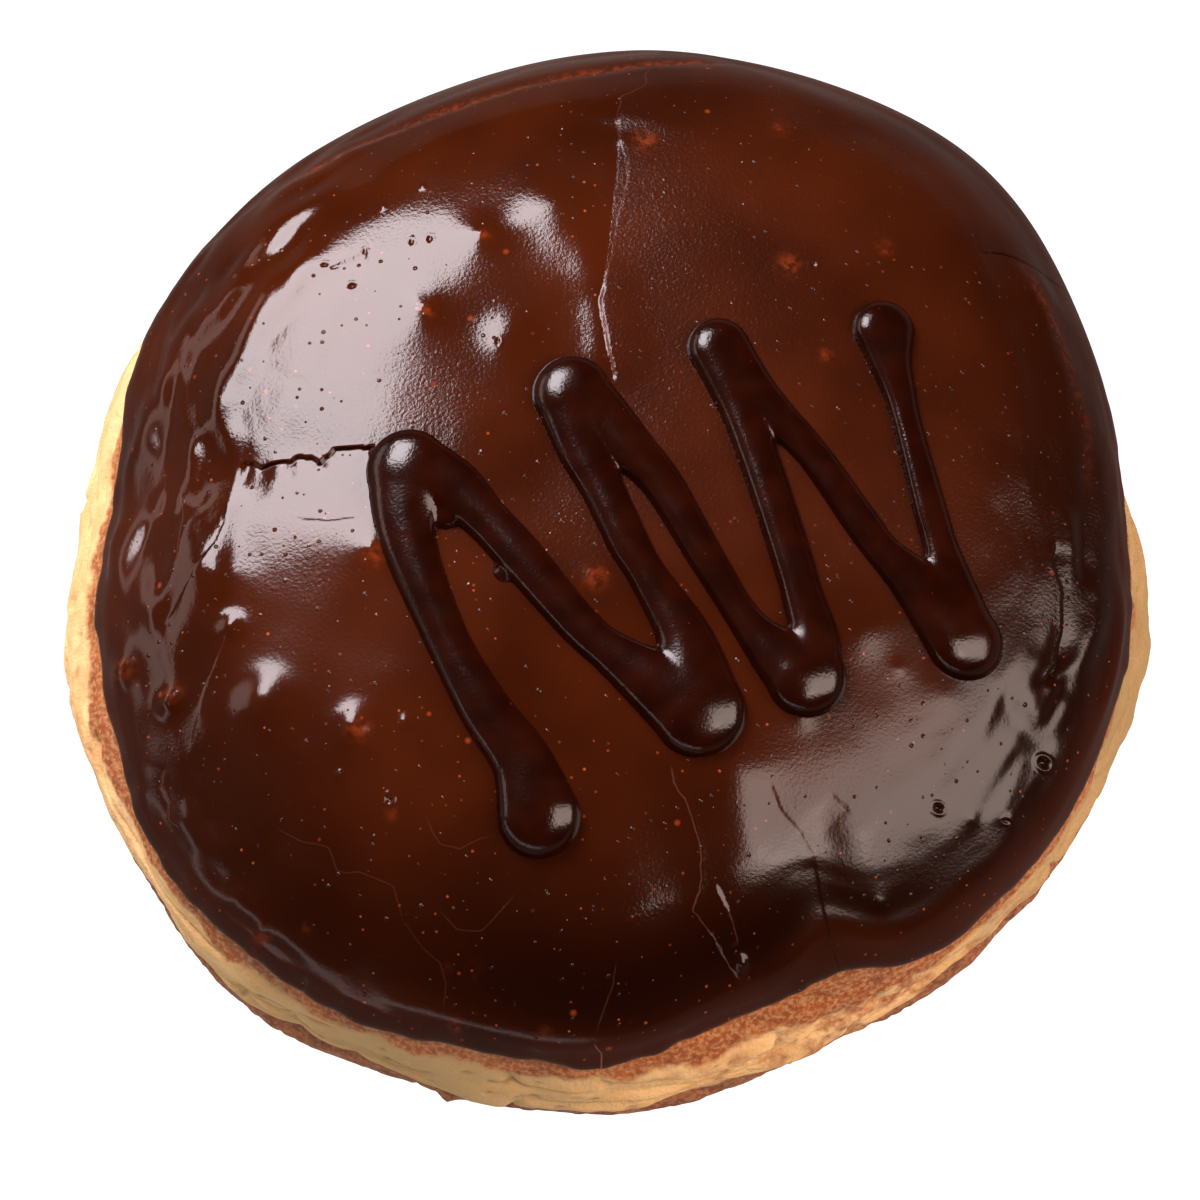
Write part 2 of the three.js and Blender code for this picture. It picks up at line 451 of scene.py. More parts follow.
@dataclass(frozen=True)
class Bubble:
    """A burst bubble: a pit with a low ring round it, or a blister if its depth is negative."""

    x: float
    y: float
    radius: float
    depth: float
    ring: float = 0.0
    pit_share: float = 0.62
    ring_share: float = 0.32

    def away(self, points: np.ndarray) -> np.ndarray:
        """Returns each point's distance from the middle."""
        return np.hypot(points[:, 0] - self.x, points[:, 1] - self.y)

    def relief(self, points: np.ndarray) -> np.ndarray:
        """Returns the height that it adds at each point.

        Args:
            points: places, one a row, in millimetres.

        Returns:
            The height at each point.
        """
        away = self.away(points)
        pit = -self.depth * bell(away, self.pit_share * self.radius)
        return pit + self.ring * bell(away - self.radius, self.ring_share * self.radius)


class Brush:
    """A material's node tree, with one short method for each kind of node that is used."""

    def __init__(self, name: str) -> None:
        """Starts a material with a Principled shader on Object coordinates.

        Args:
            name: name of the material.
        """
        self.material = bpy.data.materials.new(name)
        self.material.use_nodes = True
        self.tree = self.material.node_tree
        self.shader = self.tree.nodes["Principled BSDF"]
        self.place = self.tree.nodes.new("ShaderNodeTexCoord").outputs["Object"]

    def _feed(self, socket: bpy.types.NodeSocket, value: object) -> None:
        """Links a socket to an output, or gives it a plain value.

        Args:
            socket: the socket that is fed.
            value: another node's output, or a plain value.
        """
        if isinstance(value, bpy.types.NodeSocket):
            self.tree.links.new(value, socket)
        else:
            socket.default_value = value

    def set(self, **values: object) -> None:
        """Feeds the shader's sockets, named with _ for a space."""
        for name, value in values.items():
            self._feed(self.shader.inputs[name.replace("_", " ")], value)

    def attribute(self, name: str) -> bpy.types.NodeSocket:
        """Returns a number that the mesh carries.

        Args:
            name: name of the number.

        Returns:
            The number, as a socket.
        """
        node = self.tree.nodes.new("ShaderNodeAttribute")
        node.attribute_name = name
        return node.outputs["Fac"]

    def math(self, operation: str, *values: object) -> bpy.types.NodeSocket:
        """Returns the result of a Math node.

        Args:
            operation: Blender's name of the operation.
            values: what its inputs are fed with, in order.

        Returns:
            The result, as a socket.
        """
        node = self.tree.nodes.new("ShaderNodeMath")
        node.operation = operation
        for socket, value in zip(node.inputs, values):
            self._feed(socket, value)
        return node.outputs[0]

    def spread(self, value: object, low: float, high: float, to_low: object = 0.0,
               to_high: object = 1.0, smooth: bool = True) -> bpy.types.NodeSocket:
        """Returns a value mapped from one range to another and held inside it.

        Args:
            value: what is mapped.
            low: start of the first range.
            high: end of the first range.
            to_low: what low becomes.
            to_high: what high becomes.
            smooth: whether the turn is eased at both ends.

        Returns:
            The mapped value, as a socket.
        """
        node = self.tree.nodes.new("ShaderNodeMapRange")
        node.interpolation_type = "SMOOTHSTEP" if smooth else "LINEAR"
        for name, given in zip(("Value", "From Min", "From Max", "To Min", "To Max"),
                               (value, low, high, to_low, to_high)):
            self._feed(node.inputs[name], given)
        return node.outputs[0]

    def mapped(self, grain: Sequence[float]) -> bpy.types.NodeSocket:
        """Returns Object coordinates counted in lumps of these sizes, in millimetres.

        Args:
            grain: the sizes along x, y and z.

        Returns:
            The coordinates, as a socket.
        """
        node = self.tree.nodes.new("ShaderNodeMapping")
        node.inputs["Scale"].default_value = [1.0 / (size * MILLIMETRE) for size in grain]
        self._feed(node.inputs["Vector"], self.place)
        return node.outputs[0]

    def noise(self, grain: object, detail: float = 2.0,
              roughness: float = 0.5) -> bpy.types.NodeSocket:
        """Returns noise with lumps of one size, or of three sizes along x, y and z.

        Args:
            grain: size of a lump in millimetres, or one for each of x, y and z.
            detail: how many finer sizes are laid on it.
            roughness: how strong each finer size is.

        Returns:
            The noise, from 0 to 1, as a socket.
        """
        node = self.tree.nodes.new("ShaderNodeTexNoise")
        sizes = grain if isinstance(grain, tuple) else (grain,) * 3
        self._feed(node.inputs["Vector"], self.mapped(sizes))
        for name, value in zip(("Scale", "Detail", "Roughness"), (1.0, detail, roughness)):
            node.inputs[name].default_value = value
        return node.outputs[0]

    def nearness(self, reach: float) -> bpy.types.NodeSocket:
        """Returns 1 at the origin, falling evenly to 0 this many millimetres away.

        Args:
            reach: where it comes to 0, in millimetres.

        Returns:
            The nearness, as a socket.
        """
        node = self.tree.nodes.new("ShaderNodeTexGradient")
        node.gradient_type = "SPHERICAL"
        self._feed(node.inputs["Vector"], self.mapped((reach,) * 3))
        return node.outputs["Fac"]

    def cells(self, grain: float) -> tuple[bpy.types.NodeSocket, bpy.types.NodeSocket]:
        """Returns the distance to scattered points and a random colour for each of them.

        Args:
            grain: distance between neighbouring points, in millimetres.

        Returns:
            The distance and the colour, as sockets.
        """
        node = self.tree.nodes.new("ShaderNodeTexVoronoi")
        self._feed(node.inputs["Vector"], self.mapped((grain,) * 3))
        node.inputs["Scale"].default_value = 1.0
        return node.outputs["Distance"], node.outputs["Color"]

    def specks(self, grain: float, radius: float, share: float) -> bpy.types.NodeSocket:
        """Scatters small round specks of uneven size and strength.

        Args:
            grain: distance between neighbouring places, in millimetres.
            radius: radius of the largest speck, as a share of the grain.
            share: how many of the places hold a speck.

        Returns:
            At most 1 in the middle of a speck, falling to 0 at its edge.
        """
        distance, colour = self.cells(grain)
        split = self.tree.nodes.new("ShaderNodeSeparateColor")
        self._feed(split.inputs[0], colour)
        held = self.spread(split.outputs[0], 1.0 - share, 1.0, 0.3 * radius, radius, smooth=False)
        shown = self.math("GREATER_THAN", split.outputs[0], 1.0 - share)
        inside = self.math("DIVIDE", distance, held)
        strength = self.spread(split.outputs[1], 0.0, 1.0, 0.25, 1.0, smooth=False)
        return self.math("MULTIPLY", self.math("MULTIPLY", shown, strength),
                         self.spread(inside, 1.0, 0.2))

    def blend(self, share: object, first: object, second: object) -> bpy.types.NodeSocket:
        """Returns a blend of two colours.

        Args:
            share: 0 for the first colour, 1 for the second.
            first: one colour.
            second: the other colour.

        Returns:
            The blend, as a socket.
        """
        node = self.tree.nodes.new("ShaderNodeMix")
        node.data_type = "RGBA"
        self._feed(node.inputs[0], share)
        self._feed(node.inputs[6], first)
        self._feed(node.inputs[7], second)
        return node.outputs[2]

    def bump(self, *layers: tuple[bpy.types.NodeSocket, float]) -> None:
        """Feeds the shader's normal with layers of (height from 0 to 1, millimetres).

        Args:
            layers: each layer's height and its size.
        """
        normal = None
        for height, size in layers:
            node = self.tree.nodes.new("ShaderNodeBump")
            node.inputs["Distance"].default_value = size * MILLIMETRE
            self._feed(node.inputs["Height"], height)
            if normal is not None:
                self._feed(node.inputs["Normal"], normal)
            normal = node.outputs[0]
        self._feed(self.shader.inputs["Normal"], normal)


def paint(red: float, green: float, blue: float) -> Colour:
    """Returns a colour given as display values from 0 to 255, for a shader.

    Args:
        red: the red value.
        green: the green value.
        blue: the blue value.

    Returns:
        The colour in linear light, with full alpha.
    """
    def linear(value: float) -> float:
        """Undoes the display curve of one channel."""
        share = value / 255.0
        return share / 12.92 if share <= 0.04045 else ((share + 0.055) / 1.055) ** 2.4

    return linear(red), linear(green), linear(blue), 1.0


@dataclass(frozen=True)
class IcingFinish:
    """Set chocolate icing: satin, leathery, with flecks and the odd reddish spot."""

    deep: Colour = paint(42, 13, 3)
    warm: Colour = paint(60, 22, 6)
    # Painted shade: a darker icing brown for the band above the rim, where less light falls.
    rim_shade_colour: Colour = paint(24, 6, 2)
    glow: Colour = paint(152, 64, 28)
    fleck: Colour = paint(170, 84, 46)
    # edge: the light crack line, mostly a painted highlight on lit crack edges and in places a
    # lighter plate edge.
    edge: Colour = paint(126, 74, 58)
    # crack: painted shade inside the cracks.
    crack: Colour = paint(18, 5, 3)
    roughness: tuple[float, float] = (0.1, 0.2)
    satin: float = 0.09
    index: float = 1.34
    fleck_share: tuple[float, float] = (0.75, 0.2)
    dot_share: float = 0.7
    line_width: tuple[float, float] = (0.1, 0.02)
    grain_share: tuple[float, float] = (0.3, 1.0)
    grain_depth: float = 0.045
    speck_depth: float = 0.12

    def material(self) -> bpy.types.Material:
        """Builds the material.

        Returns:
            The material.
        """
        brush = Brush("chocolate_icing")
        broad = brush.noise(14.0, 2.0)
        colour = brush.blend(brush.spread(broad, 0.25, 0.75), self.deep, self.warm)
        glow = brush.math("MULTIPLY", brush.attribute("glow"),
                          brush.spread(brush.noise(0.7, 2.0), 0.36, 0.66, 0.04, 0.36))
        colour = brush.blend(glow, colour, self.glow)
        # Painted shade: darkens the band above the rim towards the bottom and the right.
        colour = brush.blend(brush.attribute("rim_shade"), colour, self.rim_shade_colour)
        leather = brush.attribute("leather")
        flecks = brush.math("MULTIPLY", brush.specks(1.05, 0.2, 0.55),
                            brush.spread(leather, 0.0, 1.0, *self.fleck_share))
        colour = brush.blend(flecks, colour, self.fleck)
        dots = brush.math("MULTIPLY", brush.specks(3.0, 0.14, 0.4), self.dot_share)
        colour = brush.blend(dots, colour, self.glow)
        # Crack lines: painted shade inside the cracks, and painted highlight on lit edges or
        # lighter plate edges.
        tone = brush.attribute("crack_tone")
        line = brush.spread(brush.math("ABSOLUTE", brush.attribute("crack")), *self.line_width)
        colour = brush.blend(brush.math("MULTIPLY", line, brush.spread(tone, 0.0, 1.0)),
                             colour, self.crack)
        colour = brush.blend(brush.math("MULTIPLY", line, brush.spread(tone, 0.0, -1.0)),
                             colour, self.edge)
        rough = brush.math("ADD", brush.spread(leather, 0.0, 1.0, *self.roughness),
                           brush.math("MULTIPLY", brush.attribute("satin"), self.satin))
        brush.set(Base_Color=colour, Roughness=rough, IOR=self.index)
        grain = brush.math("MULTIPLY", brush.noise(0.3, 2.0, 0.55),
                           brush.spread(leather, 0.0, 1.0, *self.grain_share))
        specks = brush.specks(1.0, 0.24, 0.6)
        brush.bump((grain, self.grain_depth), (specks, self.speck_depth))
        return brush.material


@dataclass(frozen=True)
class ZigzagFinish:
    """Dark chocolate that was piped on warm: smooth and satin."""

    body: Colour = paint(23, 4, 1)
    edge: Colour = paint(32, 7, 2)
    fleck: Colour = paint(120, 50, 26)
    fleck_share: float = 0.6
    roughness: tuple[float, float] = (0.15, 0.19)
    index: float = 1.37
    grain_depth: float = 0.02

    def material(self) -> bpy.types.Material:
        """Builds the material.

        Returns:
            The material.
        """
        brush = Brush("dark_chocolate")
        colour = brush.blend(brush.spread(brush.noise(3.0, 1.0), 0.3, 0.7), self.body, self.edge)
        flecks = brush.math("MULTIPLY", brush.specks(1.4, 0.12, 0.3), self.fleck_share)
        colour = brush.blend(flecks, colour, self.fleck)
        rough = brush.spread(brush.noise(2.4, 1.0), 0.3, 0.7, *self.roughness)
        brush.set(Base_Color=colour, Roughness=rough, IOR=self.index)
        brush.bump((brush.noise(0.26, 2.0), self.grain_depth))
        return brush.material


@dataclass(frozen=True)
class DoughFinish:
    """Fried dough: brown crusts above and below a pale ring, with a fine crumb."""

    pale: Colour = paint(242, 198, 138)
    cream: Colour = paint(228, 180, 118)
    # Partly the crumb's own olive tone at the bottom-left, partly painted shade that darkens the
    # pale ring towards the bottom and the right.
    olive_and_shade: Colour = paint(168, 138, 88)
    upper: Colour = paint(162, 88, 37)
    upper_dark: Colour = paint(130, 64, 26)
    lower: Colour = paint(152, 88, 50)
    lower_dark: Colour = paint(108, 56, 30)
    # Painted shade inside the pores of the pale ring.
    pore_shadow: Colour = paint(104, 78, 36)
    upper_edge: tuple[float, float] = (7.5, 7.8)
    lower_edge: tuple[float, float] = (5.75, 5.45)
    edge_sway: float = 1.5
    upper_crumb: float = 0.28
    lower_crumb: float = 0.16
    crust_place: tuple[float, float] = (7.4, 7.9)
    roughness: tuple[float, float] = (0.6, 0.42)
    glow_share: float = 0.12
    crumb_depth: float = 0.2
    grain_depth: float = 0.09

    def material(self) -> bpy.types.Material:
        """Builds the material.

        Returns:
            The material.
        """
        brush = Brush("fried_dough")
        mottle = brush.spread(brush.noise((3.5, 3.5, 1.4), 3.0, 0.55), 0.26, 0.74)
        speckle = brush.spread(brush.noise(0.45, 2.0, 0.6), 0.4, 0.66)
        edge = brush.math("SUBTRACT", brush.noise(4.4, 3.0, 0.55), 0.5)
        edge = brush.math("MULTIPLY", edge, self.edge_sway)
        station = brush.math("ADD", brush.attribute("station"), edge)
        pale = brush.blend(brush.spread(brush.noise((5.0, 5.0, 1.5), 3.0), 0.35, 0.65),
                           self.pale, self.cream)
        # Olive crumb tone mixed with painted shade on the pale ring towards the bottom and the
        # right.
        pale = brush.blend(brush.attribute("olive_and_shade"), pale, self.olive_and_shade)
        # Painted shade: darkens the pale ring inside the pores.
        pale = brush.blend(brush.attribute("pore"), pale, self.pore_shadow)
        patch = brush.math("MULTIPLY", brush.attribute("browned"),
                           brush.spread(brush.noise(2.8, 3.0, 0.6), 0.42, 0.6))
        upper = brush.blend(mottle, self.upper_dark, self.upper)
        upper = brush.blend(brush.math("MULTIPLY", speckle, self.upper_crumb), upper, self.pale)
        lower = brush.blend(mottle, self.lower_dark, self.lower)
        lower = brush.blend(brush.math("MULTIPLY", speckle, self.lower_crumb), lower, self.pale)
        colour = brush.blend(patch, pale, upper)
        colour = brush.blend(brush.spread(station, *self.upper_edge), colour, upper)
        colour = brush.blend(brush.spread(station, *self.lower_edge), colour, lower)
        rough = brush.spread(station, *self.crust_place, *self.roughness)
        brush.set(Base_Color=colour, Roughness=rough, Subsurface_Weight=self.glow_share,
                  Subsurface_Radius=(1.0, 0.5, 0.25), Subsurface_Scale=0.0015)
        brush.bump((brush.noise(1.3, 3.0, 0.65), self.crumb_depth),
                   (brush.noise(0.32, 2.0, 0.6), self.grain_depth))
        return brush.material


@dataclass(frozen=True)
class FloorFinish:
    """A white light table, glowing brightest round the doughnut and dimmer farther out: a painted
    pool of light.
    """

    glass: Colour = paint(255, 254, 253)
    lit: float = 1.15
    lit_far: float = 0.3
    lit_reach: float = 86.0
    far: float = 200.0

    def material(self) -> bpy.types.Material:
        """Builds the material.

        Returns:
            The material.
        """
        brush = Brush("white_table")
        lit = brush.spread(brush.nearness(self.far), 0.0, 1.0 - self.lit_reach / self.far,
                           self.lit_far, self.lit)
        nodes, links = brush.tree.nodes, brush.tree.links
        glow = nodes.new("ShaderNodeEmission")
        glow.inputs["Color"].default_value = self.glass
        links.new(lit, glow.inputs["Strength"])
        links.new(glow.outputs[0], nodes["Material Output"].inputs["Surface"])
        nodes.remove(brush.shader)
        return brush.material


def finish_piece(shape: bmesh.types.BMesh, name: str, material: bpy.types.Material,
                 replaced: str) -> bpy.types.Object:
    """Turns a finished shape in millimetres into a piece of the scene.

    Args:
        shape: the mesh, round the bun's axis; it is freed.
        name: name of the piece.
        material: its material.
        replaced: the CAD node that it stands for.

    Returns:
        The new object, which rides on the body.
    """
    bmesh.ops.recalc_face_normals(shape, faces=shape.faces)
    bmesh.ops.translate(shape, vec=(*AXIS, 0.0), verts=shape.verts)
    bmesh.ops.scale(shape, vec=(MILLIMETRE,) * 3, verts=shape.verts)
    mesh = bpy.data.meshes.new(name)
    shape.to_mesh(mesh)
    shape.free()
    mesh.polygons.foreach_set("use_smooth", np.ones(len(mesh.polygons), bool))
    mesh.materials.append(material)
    piece = bpy.data.objects.new(name, mesh)
    bpy.context.scene.collection.objects.link(piece)
    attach(piece, BODY)
    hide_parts(replaced)
    log.info("%s: %d faces", name, len(mesh.polygons))
    return piece


def read_places(shape: bmesh.types.BMesh) -> np.ndarray:
    """Returns the places of a shape's vertices, one a row."""
    return np.array([vertex.co for vertex in shape.verts], float).reshape(-1, 3)


def write_places(shape: bmesh.types.BMesh, places: np.ndarray) -> None:
    """Moves a shape's vertices to the given places."""
    for vertex, place in zip(shape.verts, places):
        vertex.co = place


def write_numbers(shape: bmesh.types.BMesh, name: str, values: np.ndarray) -> None:
    """Stores one number for each vertex of a shape, for the materials to read.

    Args:
        shape: the mesh.
        name: name of the number.
        values: the number for each vertex, in order.
    """
    layer = shape.verts.layers.float.new(name)
    for vertex, value in zip(shape.verts, values):
        vertex[layer] = value


@dataclass
class DoughBun:
    """The fried bun, from the middle of its base to the crown that the icing hides."""

    form: BunForm
    columns: int = 640
    rows: int = 140
    base_rows: float = 0.12
    waist_rows: float = 0.88
    last_shown_station: float = 9.4
    pore_count: int = 170
    pore_size: tuple[float, float] = (0.25, 0.75)
    pore_depth: float = 0.28
    pore_stations: tuple[float, float] = (5.35, 7.4)
    pore_flatness: float = 0.6
    pore_shade: float = 0.55
    # Where the pale ring turns darker: an olive crumb tone, and painted shade towards the bottom
    # and the right.
    olive_and_shade: Route = ((248, 0.9, 28), (345, 1.0, 38), (70, 0.4, 30))
    browned: Route = ((302, 0.9, 22), (120, 0.6, 30), (195, 0.3, 12))
    tucks: Route = ((232, 1.0, 26), (285, 0.6, 20), (320, 0.5, 14))
    tuck: float = 0.65
    tuck_place: tuple[float, float] = (6.4, 0.9)
    ring_bottom: tuple[float, float] = (5.1, 5.5)
    ring_top: tuple[float, float] = (7.9, 7.4)
    lumps: tuple[Grain, ...] = (Grain(0.5, (11.0, 11.0, 7.0)), Grain(0.26, (4.5, 4.5, 2.6), 50.0))
    rolls: Grain = Grain(1.0, (8.0, 8.0, 1.3), 90.0)
    roll_height: float = 0.36
    roll_groove: tuple[float, float] = (0.7, 0.12)
    tears: Grain = Grain(1.0, (1.5, 1.5, 3.4), 130.0)
    tear: tuple[float, float] = (0.14, 0.2)
    grain: tuple[float, float, float] = (0.07, 1.1, 170.0)
    edge_sway: Grain = Grain(0.22, (3.0, 3.0, 3.0), 210.0)
    ledges: Route = ((5.6, 0.4, 0.4), (5.15, -0.5, 0.2), (8.0, 0.18, 0.4))
    shown_from: tuple[float, float] = (0.2, 1.8)
    shown_to: tuple[float, float] = (8.3, 9.2)
    holes: Route = ((275.7, 5.7, 1.15), (236.0, 6.1, 0.8), (281.5, 6.0, 0.6), (120.0, 6.0, 0.9))
    nub: tuple[float, float, float, float] = (252.3, 4.3, 0.9, 0.8)
    seed: int = 11

    def stations(self, share: np.ndarray) -> np.ndarray:
        """Returns the profile station of each row, with most rows where the bun shows.

        Args:
            share: how far up the mesh each row lies, from 0 to 1.

        Returns:
            The station of each.
        """
        marks = (0.0, self.base_rows, self.waist_rows, 1.0)
        ends = (0.0, self.form.foot_station, self.last_shown_station, self.form.crown_station)
        return np.interp(share, marks, ends)

    def pores(self, points: np.ndarray) -> np.ndarray:
        """Returns how deep each point lies in a pore of the pale ring, from 0 to 1.

        Args:
            points: places, one a row, in millimetres.

        Returns:
            The depth at each point.
        """
        draw = np.random.default_rng(self.seed)
        depth = np.zeros(len(points))
        pores = [(draw.uniform(0.0, 360.0), draw.uniform(*self.pore_stations),
                  draw.uniform(*self.pore_size)) for _ in range(self.pore_count)]
        for turn, station, size in [*pores, *self.holes]:
            azimuth = math.radians(turn)
            middle = self.form.skin(np.array([station]), np.array([azimuth]), 0.0)[0]
            offset = (points - middle) / (size, size, size * self.pore_flatness)
            depth = np.maximum(depth, np.exp(-np.sum(offset**2, axis=1)))
        return depth

    def relief(self, station: np.ndarray, points: np.ndarray, wobble: Wobble) -> np.ndarray:
        """Returns how far the crust stands off the plain form at each point.

        Args:
            station: the station of each point.
            points: places, one a row, in millimetres.
            wobble: the random relief.

        Returns:
            The height at each point, in millimetres.
        """
        pale = smoothstep(station, *self.ring_bottom) * smoothstep(station, *self.ring_top)
        waist = sum(lump.relief(points, wobble) for lump in self.lumps)
        rolls = self.rolls.relief(points, wobble)
        depth, width = self.roll_groove
        waist += pale * (self.roll_height * rolls - depth * bell(rolls, width))
        depth, width = self.tear
        waist -= (1.0 - pale) * depth * bell(self.tears.relief(points, wobble), width)
        height, size, shift = self.grain
        waist += height * wobble.rough(points + shift, size, 2)
        swayed = station + self.edge_sway.relief(points, wobble)
        waist += sum(height * bell(swayed - place, width) for place, height, width in self.ledges)
        around = np.arctan2(points[:, 1], points[:, 0])
        tucked = np.clip(self.form.bulge(self.tucks, around), 0.0, 1.0)
        place, width = self.tuck_place
        waist -= self.tuck * tucked * bell(station - place, width)
        turn, place, height, size = self.nub
        middle = self.form.skin(np.array([place]), np.array([math.radians(turn)]), 0.0)[0]
        waist += height * bell(np.linalg.norm(points - middle, axis=1), size)
        shown = smoothstep(station, *self.shown_from) * (1.0 - smoothstep(station, *self.shown_to))
        return shown * waist

    def build(self, material: bpy.types.Material) -> bpy.types.Object:
        """Builds the piece and returns it.

        Args:
            material: its finish.

        Returns:
            The piece.
        """
        shape = bmesh.new()
        bmesh.ops.create_grid(shape, x_segments=self.columns, y_segments=self.rows, size=0.5)
        flat = read_places(shape) + 0.5
        azimuth = flat[:, 0] * 2 * math.pi
        station = self.stations(flat[:, 1])
        plain = self.form.skin(station, azimuth, 0.0)
        wobble = Wobble(self.seed)
        pore = self.pores(plain)
        lift = self.relief(station, plain, wobble) - self.pore_depth * pore
        places = self.form.skin(station, azimuth, lift)
        places[:, 2] = np.maximum(places[:, 2], 0.0)
        write_places(shape, places)
        write_numbers(shape, "station", station)
        write_numbers(shape, "pore", smoothstep(pore, 0.35, 1.0) * self.pore_shade)
        for name, rows in (("olive_and_shade", self.olive_and_shade), ("browned", self.browned)):
            write_numbers(shape, name, np.clip(self.form.bulge(rows, azimuth), 0.0, 1.0))
        bmesh.ops.remove_doubles(shape, verts=shape.verts, dist=MERGE_DISTANCE)
        return finish_piece(shape, "dough_crust", material, "dough_bun")


